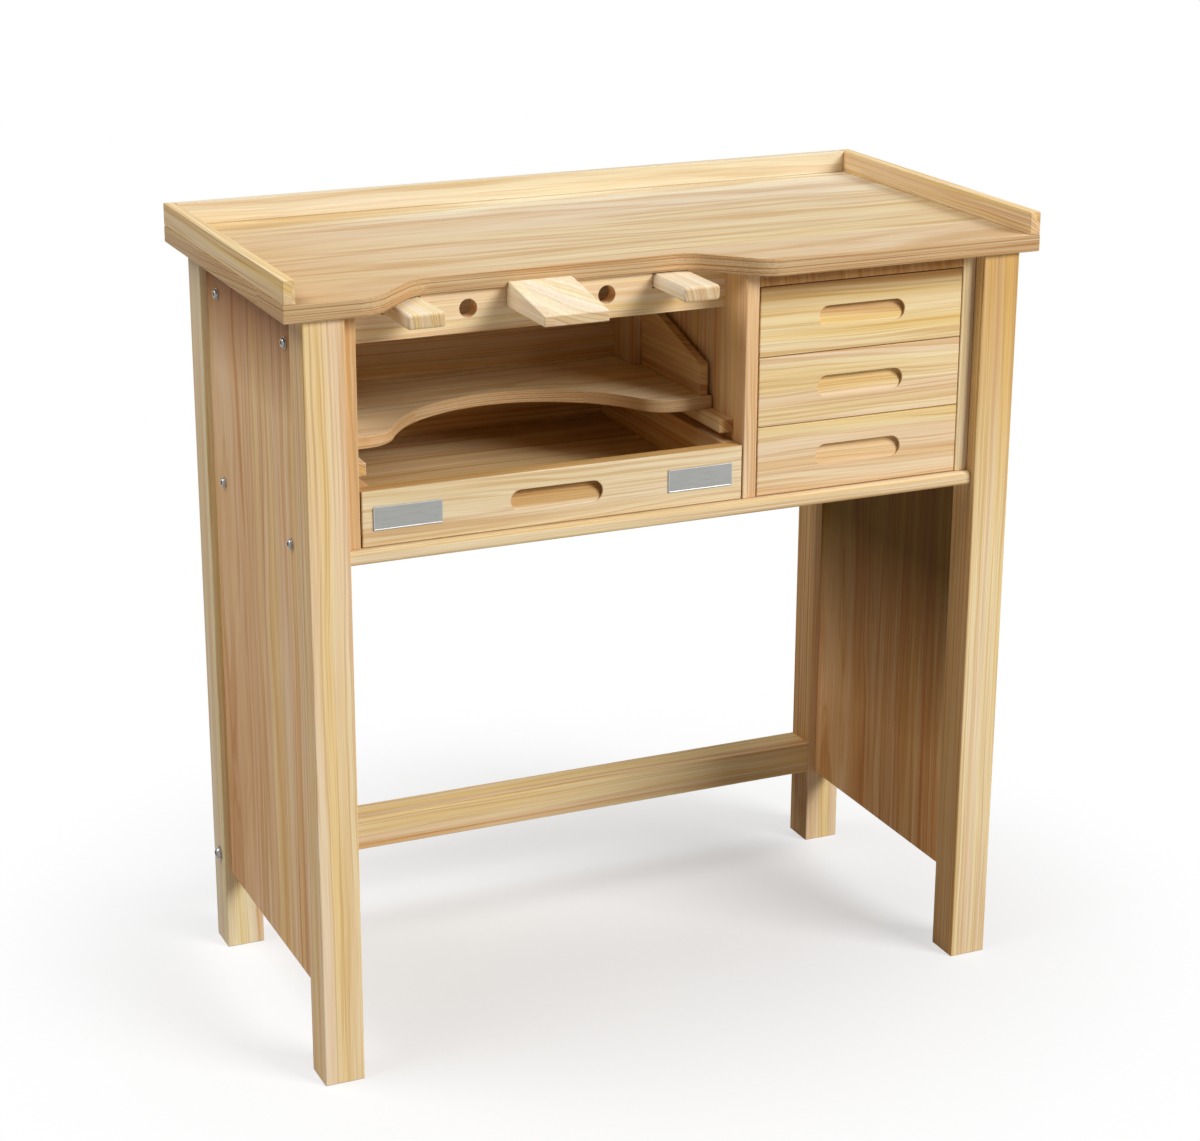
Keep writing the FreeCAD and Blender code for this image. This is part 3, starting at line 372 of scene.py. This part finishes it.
def wood_shade(tree, where, axes, late_wood, fibres, lines, deep, hair, side, ends):
    """How light the wood is: line^(1 + deep (1 - s)) x fibre x s, with s = 1 - ends n_w^2 - side n_u^2.

    n is the surface's direction, a line is 1 - lines at its darkest, and a fibre 1 - hair.
    """
    line = add(tree, "MapRange", {"Value": late_wood, "From Min": 0.34, "From Max": 0.54,
                                  "To Min": 1.0 - lines, "To Max": EARLY_WOOD},
               interpolation_type="SMOOTHSTEP")
    fibre = add(tree, "MapRange", {"Value": fibres, "From Min": 0.3, "From Max": 0.7, "To Min": 1.0 - hair,
                                   "To Max": 1.0 + hair / 2})
    facing = add(tree, "VectorMath", {0: where.outputs["Normal"], 1: where.outputs["Normal"]},
                 operation="MULTIPLY")
    facing = add(tree, "SeparateXYZ", {0: facing})
    worn = add(tree, "Math", {0: facing.outputs[axes[2]], 1: -ends, 2: 1.0}, operation="MULTIPLY_ADD")
    # side darkens the faces across u: painted shade on the legs' sides.
    worn = add(tree, "Math", {0: facing.outputs[axes[0]], 1: -side, 2: worn}, operation="MULTIPLY_ADD")
    power = add(tree, "Math", {0: worn, 1: -deep, 2: 1.0 + deep}, operation="MULTIPLY_ADD")
    line = add(tree, "Math", {0: line, 1: power}, operation="POWER")
    shade = add(tree, "Math", {0: line, 1: fibre}, operation="MULTIPLY")
    return add(tree, "Math", {0: shade, 1: worn}, operation="MULTIPLY")


def ply_layers(tree, height, level, thick):
    """1 in each odd layer of plywood and CROSSED_PLY in each even one, thick metres each, from level up."""
    layer = add(tree, "Math", {0: height, 1: level}, operation="SUBTRACT")
    layer = add(tree, "Math", {0: layer, 1: 2 * thick}, operation="FLOORED_MODULO")
    return add(tree, "MapRange", {"Value": layer, "From Min": 0.95 * thick, "From Max": 1.05 * thick,
                                  "To Min": 1.0, "To Max": CROSSED_PLY})


print("a crossed ply is", CROSSED_PLY, "as light as the others")

# %% [markdown]
# ## Edges rubbed by hands, with a painted highlight
#
# Sandpaper takes the sharpness off each edge, and hands then polish it. The
# Bevel node gives the direction that a rounded surface would have, so the light
# rolls over the edge. Where that direction leaves the flat face's own, the
# wood is painted a little paler: partly the thin, rubbed lacquer, partly a
# painted highlight along the edge.

# %% Eased edges
EASED = 1.2 * MILLI
# The pale edge tone is partly rubbed lacquer and partly a painted highlight.
EDGE_WEAR_AND_HIGHLIGHT, EDGE_WEAR_AND_HIGHLIGHT_TONE = 0.12, "#FFF4E2"


def worn_and_highlit_edges(tree, colour):
    """Screens EDGE_WEAR_AND_HIGHLIGHT_TONE over the colour by the share EDGE_WEAR_AND_HIGHLIGHT where eased . flat falls from 0.98 to 0.80.

    Gives the new colour's node and the eased direction's node.
    """
    eased = add(tree, "Bevel", {"Radius": EASED}, samples=4)
    flat = add(tree, "NewGeometry").outputs["Normal"]
    edge = add(tree, "VectorMath", {0: eased, 1: flat}, operation="DOT_PRODUCT")
    edge = add(tree, "MapRange", {"Value": edge.outputs["Value"], "From Min": 0.98, "From Max": 0.80})
    edge = add(tree, "Math", {0: edge, 1: EDGE_WEAR_AND_HIGHLIGHT}, operation="MULTIPLY")
    pale = add(tree, "Mix", {0: 1.0, 6: colour.outputs[2], 7: linear(EDGE_WEAR_AND_HIGHLIGHT_TONE)}, data_type="RGBA",
               blend_type="SCREEN")
    return add(tree, "Mix", {0: edge, 6: colour.outputs[2], 7: pale.outputs[2]}, data_type="RGBA"), eased


print("edges are eased by", EASED / MILLI, "mm")

# %% [markdown]
# ## One function for every board
#
# All boards are the same wood with other settings, so one function puts the
# parts together. The lacquer is satin: an IOR of 1.5, fairly rough, and a
# little duller on the dark lines. It sinks into the lines and between the
# fibres, which makes a relief. The real one is a few hundredths of a
# millimetre, and it is drawn 0.15 mm deep so that it shows.

# %% The wood function
LANES_APART = 61.0
LINE_RELIEF, FIBRE_RELIEF, RELIEF = 0.6, 0.4, 0.15 * MILLI


def pine(name, along, middle, tones, cut=60, away=0.42, strip=85, fine=1.0, wander=14, lines=0.24, deep=4.0,
         hue=1.0, hair=0.1, side=0.0, ends=0.3, gloss=0.15, painted_light_tints=(), plies=None):
    """Lacquered pine whose grain runs along x, y or z, for a board whose middle is given.

    u and v are the axes across the grain and w the one along it. The pith is away metres off a strip's
    middle, at cut degrees from u. strip and wander are in millimetres, and fine shrinks the bands. hue,
    lines, hair, side, ends and gloss are the shares of the hues, the late wood, the fibres, the darker sides
    and ends, and the lacquer's reflection, and deep makes the lines stronger on the darker faces. plies is
    plywood's thickness axis, lowest level and layer thickness.
    """
    material, tree, output = new_material(name)
    start = seed.uniform(-4, 4, 3).tolist()
    where = add(tree, "TexCoord")
    axes = {"x": "YZX", "y": "XZY", "z": "XYZ"}[along]
    split = add(tree, "SeparateXYZ", {0: where.outputs["Object"]})
    u, v, w = (split.outputs[axis] for axis in axes)

    within, own = glued_strips(tree, u, strip * MILLI, start[0])
    grain = add(tree, "CombineXYZ", {0: u, 1: v, 2: w})
    grain = add(tree, "VectorMath", {0: own.outputs["Color"], 1: STRIPS_APART, 2: grain},
                operation="MULTIPLY_ADD")
    pith = (strip * MILLI / 2 + away * math.cos(math.radians(cut)),
            middle["XYZ".index(axes[1])] + away * math.sin(math.radians(cut)), 0.0)
    ring = ring_distance(tree, within, v, grain, own, start, pith, wander * MILLI * fine)
    lane = add(tree, "Math", {0: own, 1: LANES_APART, 2: start[1]}, operation="MULTIPLY_ADD")
    hues = bands(tree, ring, w, lane, HUE_WIDE * fine, HUE_LONG, 2.0)
    streaks = bands(tree, ring, w, lane, STREAK_WIDE * fine, STREAK_LONG, 3.0)
    late_wood = bands(tree, ring, w, lane, LINE_WIDE * fine, LINE_LONG, 2.0)
    fibres = add(tree, "VectorMath", {0: grain, 1: (1 / FIBRE_WIDE, 1 / FIBRE_WIDE, 1 / FIBRE_LONG)},
                 operation="MULTIPLY")
    fibres = add(tree, "TexNoise", {"Vector": fibres, "Scale": 1.0, "Detail": 1.0, "Roughness": 0.5})

    colour = wood_colour(tree, where, streaks, hues, tones, hue, painted_light_tints)
    shade = wood_shade(tree, where, axes, late_wood, fibres, lines, deep, hair, side, ends)
    if plies:
        axis, level, thick = plies
        shade = add(tree, "Math", {0: shade, 1: ply_layers(tree, split.outputs[axis], level, thick)},
                    operation="MULTIPLY")
    powers = [add(tree, "Math", {0: shade, 1: power}, operation="POWER")
              for power in (RED_POWER, GREEN_POWER, BLUE_POWER)]
    shade = add(tree, "CombineColor", dict(enumerate(powers)))
    colour = add(tree, "Mix", {0: 1.0, 6: colour.outputs[2], 7: shade}, data_type="RGBA",
                 blend_type="MULTIPLY")
    colour, eased = worn_and_highlit_edges(tree, colour)

    rough = add(tree, "MapRange", {"Value": late_wood, "From Min": 0.3, "From Max": 0.7, "To Min": 0.62,
                                   "To Max": 0.50})
    height = add(tree, "Math", {0: late_wood, 1: LINE_RELIEF}, operation="MULTIPLY")
    height = add(tree, "Math", {0: fibres, 1: FIBRE_RELIEF, 2: height}, operation="MULTIPLY_ADD")
    bump = add(tree, "Bump", {"Height": height, "Strength": 0.35, "Distance": RELIEF, "Normal": eased})
    shader = add(tree, "BsdfPrincipled", {"Base Color": colour.outputs[2], "Roughness": rough, "IOR": 1.5,
                                          "Normal": bump, "Specular IOR Level": gloss})
    tree.links.new(shader.outputs[0], output.inputs["Surface"])
    return material


print("pine is ready")

# %% [markdown]
# ## Which board has which grain
#
# Grain runs along a board's length, because wood is strong that way. So the
# top, the drawer fronts and the rails have theirs from left to right, the
# legs and side panels from the floor up, and the drawer sides from front to
# back.
#
# No two boards of pine match. Most are cream. The worktop is buff, and its
# rings lie nearly flat, so they give long streaks on top and close lines round
# its edge. The side panels are tan and brown, and the boards that line the
# case are honey; the brown and the honey are darker and warmer as painted
# shade, for the right panel's inner face and the inside of the case. The
# board over the small drawers is umber, a dark tone painted as the shade
# under the worktop's overhang, and shows its end grain. Straw, pale and
# ivory boards are younger wood. The pin and the armrests are ivory, because
# they are renewed when worn.
#
# The pulls are routed into the fronts. Their floors are tinted darker as
# painted shade in the recess; the tint starts 1.5 mm behind the face.

# %% The tones of the boards
CREAM = ("#DFC090", "#E9D4AC", "#EEDCBA", "#F1E4C8")
# Honey is a warmer cream, painted as the warm shade inside the case.
HONEY_SHADE = ("#DCB27C", "#ECCC9E", "#F0D6AE", "#F4E2C2")
BUFF = ("#DFCCAC", "#E5D8BF", "#E9DFC9", "#ECE5D2")
STRAW = ("#E6C696", "#F1D9B0", "#F5E1BF", "#F8EACF")
TAN = ("#D4A272", "#E8C194", "#EFD1AA", "#F6DFC0")
# Brown is a darker, warmer tan, painted as the shade on the right panel's inner face.
BROWN_SHADE = ("#D29762", "#E6B37A", "#EFC490", "#F6D6AC")
# Umber is a dark tone painted as the shade under the worktop's overhang.
UMBER_SHADE = ("#B8905E", "#C49F6F", "#CCAA7C", "#D4B58A")
PALE = ("#E0CBA4", "#E9DCBE", "#EDE3CC", "#F2EBDA")
IVORY = ("#EBDCBA", "#EFE3C6", "#F2E8D0", "#F4ECD8")
ACROSS = "worktop back_rail rear_stretcher case_floor rear_top_cleat apron " \
         "sweeps_front sweeps_back tray_floor tray_back_wall drawer_stops " \
         "bottom_drawer_front middle_drawer_front top_drawer_front " \
         "bottom_drawer_back middle_drawer_back top_drawer_back"
UPRIGHT = "front_left_leg rear_left_leg left_side_panel front_right_leg rear_right_leg right_side_panel " \
          "case_left_side case_right_side case_divider tray_corner_blocks"
LINING = "case_divider tray_left_wall tray_right_wall tray_back_wall " \
         "sweeps_left_side sweeps_right_side sweeps_back"
print(len(ACROSS.split()), "boards run across and", len(UPRIGHT.split()), "upright")

# %% What each board has of its own
TO_FRONT, TO_LEFT, UPWARDS = (0, -1, 0), (-1, 0, 0), (0, 0, 1)
pull_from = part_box("sweeps_front")[0][1] + 1.5 * MILLI
pull_to = pull_from + 2 * MILLI
# Painted shade on the floors of the pulls, from 1.5 mm behind the face.
WIDE_PULL_SHADE = ("Y", pull_from, pull_to, "#DCC49C", None)
SMALL_PULL_SHADE = ("Y", pull_from, pull_to, "#F6EEDA", None)
OWN = {
    # The worktop's tints: the back of the top is left lighter as painted sheen, and the top's left end is
    # darker as painted shade.
    "worktop": dict(tones=BUFF, cut=87, away=8.0, strip=500, fine=0.7, wander=6, deep=7.0, hue=0.6, hair=0.2,
                    side=0.26, ends=0.34, gloss=0.1,
                    painted_light_tints=[("Y", 0.143, 0.02, "#F4EADA", None), ("X", -0.20, -0.47, "#F4E4CE", UPWARDS)]),
    "back_rail": dict(tones=PALE, cut=30, lines=0.12, hue=0.4),
    "left_rail": dict(side=0.12, ends=0.12),
    "right_rail": dict(tones=STRAW, ends=0.12),
    # Painted shade: the left panel is darker at the top, under the worktop's overhang.
    "left_side_panel": dict(tones=TAN, cut=20, strip=62, hair=0.16, gloss=0.1,
                            painted_light_tints=[("Z", 0.78, 0.90, "#B89878", None)]),
    # Painted shade: the right panel's inner face is darker towards the top, under the case.
    "right_side_panel": dict(tones=BROWN_SHADE, cut=20, strip=62, hue=0.6, hair=0.24, gloss=0.06,
                             painted_light_tints=[("Z", 0.24, 0.50, "#7A7234", TO_LEFT)]),
    # On the legs, side is painted shade that darkens their side faces. The front right leg's tints are
    # painted shade under the worktop's overhang and, on its inner face below 0.6 m, under the case.
    "front_left_leg": dict(tones=STRAW, fine=0.7, side=0.16),
    "rear_left_leg": dict(tones=IVORY, fine=0.7),
    "front_right_leg": dict(fine=0.7, side=0.2, painted_light_tints=[("Z", 0.66, 0.60, "#EBDDCB", TO_LEFT),
                                                       ("Z", 0.55, 0.88, "#EAD6BA", TO_FRONT)]),
    "rear_right_leg": dict(fine=0.7, side=0.34),
    "case_floor": dict(hue=0.6, fine=0.7),
    "sweeps_front": dict(cut=32, hue=0.5, painted_light_tints=[WIDE_PULL_SHADE]),
    # Painted shade: the top drawer's upper edge is darker under the worktop's overhang.
    "top_drawer_front": dict(cut=32, painted_light_tints=[SMALL_PULL_SHADE, ("Z", 0.872, 0.902, "#A48A6C", None)]),
    "middle_drawer_front": dict(cut=32, painted_light_tints=[SMALL_PULL_SHADE]),
    "bottom_drawer_front": dict(cut=32, painted_light_tints=[SMALL_PULL_SHADE]),
    "tray_floor": dict(tones=STRAW, cut=86, fine=0.5, side=0.25, hue=0.5),
    "apron": dict(tones=STRAW),
    "bench_pin": dict(tones=IVORY, cut=75, lines=0.12, hue=0.6),
    "left_armrest": dict(tones=IVORY, cut=10, fine=0.6, lines=0.15, hue=0.6),
    "right_armrest": dict(tones=IVORY, cut=20, fine=0.6, lines=0.15, hue=0.6),
    "drawer_bay_top": dict(tones=UMBER_SHADE, cut=12, fine=0.8, lines=0.1, deep=1.0),
} | {node: dict(tones=HONEY_SHADE) for node in LINING.split()}
print(len(OWN), "boards differ from the rest")

# %% [markdown]
# ## Birch plywood
#
# The thin sheets, which are the case's back and the drawers' bottoms, are
# birch plywood, peeled and pressed. The faces are peeled from the log, so the
# rings lie nearly flat in them and make broad figures. The edges show the
# crossed layers, every second one darker. The layers are counted from just
# below the sheet, so that its lowest face isn't on a boundary between two.

# %% Give each board its wood
BIRCH = ("#C9A878", "#DBC398", "#E2CFAA", "#E8D8B8")
BELOW = 0.1 * MILLI
SHEETS = {"case_back": ("Y", 7), "sweeps_bottom": ("Z", 5), "bottom_drawer_bottom": ("Z", 5),
          "middle_drawer_bottom": ("Z", 5), "top_drawer_bottom": ("Z", 5)}
for node, obj in nodes.items():
    obj.data.materials.clear()
    low, high = (np.array(corner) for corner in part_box(node))
    middle = ((low + high) / 2).tolist()
    if node in SHEETS:
        axis, count = SHEETS[node]
        place = "XYZ".index(axis)
        layers = (axis, float(low[place]) - BELOW, (float(high[place] - low[place]) + 2 * BELOW) / count)
        wood = pine(f"birch_plywood_{node}", "x", middle, BIRCH, cut=8 if axis == "Y" else 82, strip=400,
                    fine=0.6, plies=layers)
    else:
        along = "x" if node in ACROSS.split() else "z" if node in UPRIGHT.split() else "y"
        settings = dict(tones=CREAM, cut=50 + 25 * seed.uniform()) | OWN.get(node, {})
        wood = pine(f"lacquered_pine_{node}", along, middle, **settings)
    obj.data.materials.append(wood)
print(len(nodes) - len(SHEETS), "solid boards and", len(SHEETS), "plywood sheets")

# %% [markdown]
# ## Metal made of rings
#
# Bolts, barrel nuts and plates are small but bright, so they need true form.
# Each is a stack of rings round an axis: a ring is a closed row of points, and
# a skin joins each ring to the next. A bolt has round rings whose radius
# follows the profile that the lathe cuts, and its socket is the same ring
# squeezed to a hexagon. A nut's screwdriver slot is a ring squeezed flat, and a
# plate has rounded rectangles that shrink towards the middle.

# %% The skin function
def skin(name, axis, first, seat, heights, across, up, material, body):
    """A closed mesh over rings, which stands at seat and points along axis.

    Point j of ring i is seat + heights[i] axis + across[i, j] first + up[i, j] second, where second is axis x
    first. Face (i, j) joins points j and j + 1 of rings i and i + 1, and a fan to the middle closes each end.
    Edges sharper than 30 degrees stay crisp. The attribute reach is a point's distance from the axis.
    """
    axis, first = np.array(axis, float), np.array(first, float)
    rings = (np.asarray(seat) + heights[:, None, None] * axis + across[..., None] * first
             + up[..., None] * np.cross(axis, first))
    count, around = across.shape
    points = np.vstack([rings.reshape(-1, 3), rings[0].mean(axis=0), rings[-1].mean(axis=0)])
    i, j = (index.ravel() for index in np.meshgrid(np.arange(count - 1), np.arange(around), indexing="ij"))
    k = (j + 1) % around
    quads = np.stack([i * around + j, i * around + k, (i + 1) * around + k, (i + 1) * around + j], axis=1)
    here = np.arange(around)
    after = (here + 1) % around
    top = (count - 1) * around
    foot = np.stack([np.full(around, count * around), after, here], axis=1)
    head = np.stack([np.full(around, count * around + 1), top + here, top + after], axis=1)
    mesh = bpy.data.meshes.new(name)
    mesh.from_pydata(points.tolist(), [], quads.tolist() + foot.tolist() + head.tolist())
    mesh.shade_smooth()
    mesh.set_sharp_from_angle(angle=math.radians(30))
    reach = mesh.attributes.new("reach", "FLOAT", "POINT")
    reach.data.foreach_set("value", np.append(np.hypot(across, up).ravel(), [0.0, 0.0]))
    mesh.materials.append(material)
    piece = bpy.data.objects.new(name, mesh)
    bpy.context.scene.collection.objects.link(piece)
    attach(piece, body)
    return piece


AROUND = 72
ANGLES = (np.arange(AROUND) + 0.5) * 2 * math.pi / AROUND
print("rings of", AROUND, "points")

# %% [markdown]
# ## Bolts and barrel nuts
#
# Eight flanged button-head bolts pull the case to the side panels. Two larger
# ones hold the stretcher, and each ends in a barrel nut: a steel cylinder that
# lies across the bolt in a bore of its own, with a slot to turn it by.
#
# They are turned from steel and polished. The lathe leaves rings a few
# hundredths of a millimetre apart, which give the gloss its round drift. They
# are too fine to show, so they are drawn 0.4 mm apart, by the distance from
# the axis. The key never stops at the same angle twice, so every socket has a
# turn of its own.

# %% Polished steel
RING_WIDE = 1 / 2600


def polished_steel(name, dark, light):
    """Polished steel, with turning rings that tint it between two tones and vary its gloss."""
    material, tree, output = new_material(name)
    reach = add(tree, "Attribute", attribute_name="reach")
    rings = add(tree, "TexNoise", {"W": reach.outputs["Fac"], "Scale": 1 / RING_WIDE, "Detail": 2.0},
                noise_dimensions="1D")
    tint = add(tree, "ValToRGB", {0: rings}, stops=((0.3, dark), (0.7, light)))
    rough = add(tree, "MapRange", {"Value": rings, "To Min": 0.14, "To Max": 0.34})
    bump = add(tree, "Bump", {"Height": rings, "Strength": 0.3, "Distance": 0.02 * MILLI})
    shader = add(tree, "BsdfPrincipled", {"Base Color": tint, "Metallic": 1.0, "Roughness": rough,
                                          "Normal": bump})
    tree.links.new(shader.outputs[0], output.inputs["Surface"])
    return material


steel = polished_steel("polished_steel", "#77746F", "#A9A6A1")
print("bolts are", steel.name)

# %% Turn the bolts
SHANK, FLANGE, FLANGE_THICK = 3.0, 7.0, 1.2
DOME_FOOT, LAND, DOME_HIGH = 5.9, 3.7, 3.5
HEX_FLAT, SOCKET_DEEP = 2.5, 3.0
SIXTH = math.pi / 3


def bolt(name, seat, side, scale, length, turn):
    """A flanged button-head bolt along X, seated at seat, with its head towards side, in millimetres.

    Each row of the shaft is a height over the seat and a radius. The dome is a quarter ellipse from the
    flange to the land round the socket. The socket is a hexagon, with the radius
    HEX_FLAT / cos(((angle + 30) mod 60) - 30).
    """
    quarter = np.linspace(0, math.pi / 2, 9)
    crown = FLANGE_THICK + DOME_HIGH
    shaft = [(-length, SHANK * 0.7), (-length + 0.8, SHANK), (0, SHANK), (0, FLANGE - 0.1), (0.15, FLANGE),
             (FLANGE_THICK - 0.2, FLANGE), (FLANGE_THICK, FLANGE - 0.2), (FLANGE_THICK, DOME_FOOT + 0.15)]
    dome = np.stack([FLANGE_THICK + DOME_HIGH * np.sin(quarter),
                     LAND + (DOME_FOOT - LAND) * np.cos(quarter)], axis=1)
    rows = np.vstack([shaft, dome])
    socket = np.array([(crown, 1.08), (crown - 0.2, 1.0), (crown - SOCKET_DEEP, 1.0),
                       (crown - SOCKET_DEEP - 0.6, 0.2)])
    hexagon = HEX_FLAT / np.cos((ANGLES + SIXTH / 2) % SIXTH - SIXTH / 2)
    radii = np.vstack([rows[:, 1:] * np.ones(AROUND), socket[:, 1:] * hexagon]) * scale * MILLI
    heights = np.concatenate([rows[:, 0], socket[:, 0]])
    heights = np.where(heights > 0, heights * scale, heights) * MILLI
    return skin(name, (side, 0, 0), (0, 1, 0), seat, heights, radii * np.cos(ANGLES + turn),
                radii * np.sin(ANGLES + turn), steel, "frame")


BOLT_APART, UPPER_BOLT, BOLT_LONG = 262.6 * MILLI, 875 * MILLI, 51
STRETCHER_BOLT_IN, STRETCHER_BOLT_LONG, STRETCHER_BOLT_SCALE = 19.5 * MILLI, 112, 1.3
panel_low, panel_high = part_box("left_side_panel")
floor_low, floor_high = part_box("case_floor")
leg_low, leg_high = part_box("rear_left_leg")
rail_low, rail_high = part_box("rear_stretcher")
panel_middle = (panel_low[1] + panel_high[1]) / 2
lower_bolt = (floor_low[2] + floor_high[2]) / 2
rail_middle = (rail_low[2] + rail_high[2]) / 2
stretcher_bolt_y = leg_low[1] + STRETCHER_BOLT_IN
for side, side_name in ((-1, "left"), (1, "right")):
    for z, level in ((UPPER_BOLT, "upper"), (lower_bolt, "lower")):
        for step, end in ((-1, "front"), (1, "rear")):
            seat = (side * -panel_low[0], panel_middle + step * BOLT_APART / 2, z)
            bolt(f"{side_name}_{level}_{end}_bolt", seat, side, 1.0, BOLT_LONG, seed.uniform(0, SIXTH))
    bolt(f"{side_name}_stretcher_bolt", (side * -leg_low[0], stretcher_bolt_y, rail_middle), side,
         STRETCHER_BOLT_SCALE, STRETCHER_BOLT_LONG, seed.uniform(0, SIXTH))
print("10 bolts,", 2 * FLANGE, "mm across")

# %% Turn the barrel nuts
NUT_RADIUS, NUT_LONG, NUT_FROM_END = 6.0, 26.0, 52.0
SLOT_WIDE, SLOT_DEEP, SLOT_LONG = 1.8, 1.6, 0.9


def barrel_nut(name, seat, turn):
    """A cylinder round Z whose lower end, at seat, has a slot.

    The slot's ring is across = r cos(angle) and up = r sin(angle), with up held within half the slot's width.
    """
    rows = np.array([(-NUT_LONG, 0.92), (-NUT_LONG + 0.5, 1.0), (-0.4, 1.0), (0, 0.93)])
    slot_rows = np.array([0.0, -SLOT_DEEP])
    circle = rows[:, 1:] * NUT_RADIUS * np.ones(AROUND)
    across = np.vstack([circle * np.cos(ANGLES), np.ones((2, 1)) * (NUT_RADIUS * SLOT_LONG * np.cos(ANGLES))])
    held = np.clip(NUT_RADIUS * SLOT_LONG * np.sin(ANGLES), -SLOT_WIDE / 2, SLOT_WIDE / 2)
    up = np.vstack([circle * np.sin(ANGLES), np.ones((2, 1)) * held])
    heights = np.concatenate([rows[:, 0], slot_rows]) * MILLI
    first = (math.cos(turn), math.sin(turn), 0)
    return skin(name, (0, 0, -1), first, seat, heights, across * MILLI, up * MILLI, steel, "frame")


for side, side_name in ((-1, "left"), (1, "right")):
    nut_x = side * (rail_high[0] - NUT_FROM_END * MILLI)
    barrel_nut(f"{side_name}_barrel_nut", (nut_x, stretcher_bolt_y, rail_middle - NUT_LONG / 2 * MILLI),
               seed.uniform(0, math.pi))
print("2 barrel nuts,", NUT_LONG, "mm long")

# %% [markdown]
# ## Plates
#
# Two small plates sit on the wide drawer's front. They are pressed from sheet
# steel: a narrow bright rim stands up round a brushed field, which is left
# bare. Brushing scratches the field along its length, so its gloss is drawn
# out crosswise. The scratches are noise that is 33 mm long along X and a tenth
# of a millimetre wide along Z.

# %% Brushed steel
SCRATCH_LONG, SCRATCH_WIDE, CLOUD = 1 / 30, 1 / 9000, 1 / 60


def brushed_steel(name, rim_from):
    """Brushed steel with scratches along X, and a bright rim where the attribute rise passes rim_from."""
    material, tree, output = new_material(name)
    where = add(tree, "TexCoord")
    scratch = add(tree, "VectorMath", {0: where.outputs["Object"],
                                       1: (1 / SCRATCH_LONG, 0.0, 1 / SCRATCH_WIDE)}, operation="MULTIPLY")
    scratch = add(tree, "TexNoise", {"Vector": scratch, "Scale": 1.0, "Detail": 3.0, "Roughness": 0.7})
    cloud = add(tree, "TexNoise", {"Vector": where.outputs["Object"], "Scale": 1 / CLOUD, "Detail": 2.0})
    rise = add(tree, "Attribute", attribute_name="rise")
    rim = add(tree, "MapRange", {"Value": rise.outputs["Fac"], "From Min": rim_from,
                                 "From Max": rim_from + 0.1 * MILLI})
    field = add(tree, "ValToRGB", {0: scratch}, stops=((0.35, "#8E8E8B"), (0.65, "#B4B4B1")))
    tint = add(tree, "Mix", {0: rim, 6: field, 7: linear("#B8B8B5")}, data_type="RGBA")
    rough = add(tree, "MapRange", {"Value": cloud, "From Min": 0.3, "From Max": 0.7, "To Min": 0.34,
                                   "To Max": 0.46})
    bump = add(tree, "Bump", {"Height": scratch, "Strength": 0.4, "Distance": 0.02 * MILLI})
    shader = add(tree, "BsdfPrincipled", {"Base Color": tint.outputs[2], "Metallic": 1.0, "Roughness": rough,
                                          "Normal": bump})
    tree.links.new(shader.outputs[0], output.inputs["Surface"])
    return material


RIM_HIGH, FIELD_HIGH = 1.5, 1.15
plate_metal = brushed_steel("brushed_steel_plate", (FIELD_HIGH + 0.05) * MILLI)
print("plates are", plate_metal.name)

# %% Press the plates
PLATE_CORNER = 1.6


def plate(name, node):
    """A pressed plate in a node's place, facing -Y, with sizes in millimetres.

    Each ring is a rounded rectangle: across = sign(cos) (half width - corner) + corner cos(angle), and up the
    same with sin and the height. Rings step inwards over the rim and down to the field.
    """
    low, high = (np.array(corner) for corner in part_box(node))
    half_wide, half_high = (high[0] - low[0]) / 2 / MILLI, (high[2] - low[2]) / 2 / MILLI
    rows = np.array([(0.2, 0.0), (0.0, 0.15), (0.0, 1.15), (0.25, 1.42), (0.55, RIM_HIGH), (1.1, RIM_HIGH),
                     (1.35, 1.42), (1.6, FIELD_HIGH), (3.0, FIELD_HIGH), (7.0, FIELD_HIGH),
                     (12.0, FIELD_HIGH)])
    inset = rows[:, :1]
    corner = np.maximum(PLATE_CORNER - inset, 0.3)
    across = np.sign(np.cos(ANGLES)) * (half_wide - inset - corner) + corner * np.cos(ANGLES)
    up = np.sign(np.sin(ANGLES)) * (half_high - inset - corner) + corner * np.sin(ANGLES)
    seat = ((low[0] + high[0]) / 2, high[1], (low[2] + high[2]) / 2)
    piece = skin(name, (0, -1, 0), (1, 0, 0), seat, rows[:, 1] * MILLI, across * MILLI, up * MILLI,
                 plate_metal, "sweeps_drawer")
    rise = piece.data.attributes.new("rise", "FLOAT", "POINT")
    levels = np.append(np.repeat(rows[:, 1], AROUND), [0.0, FIELD_HIGH]) * MILLI
    rise.data.foreach_set("value", levels)
    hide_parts(node)
    return piece


for side_name in ("left", "right"):
    plate(f"{side_name}_bare_plate", f"sweeps_{side_name}_plate")
print("2 plates without any words")

# %% [markdown]
# ## View
#
# The Standard view shows each colour as it is written, without a film look.

# %% Set the view
bpy.context.scene.view_settings.view_transform = "Standard"
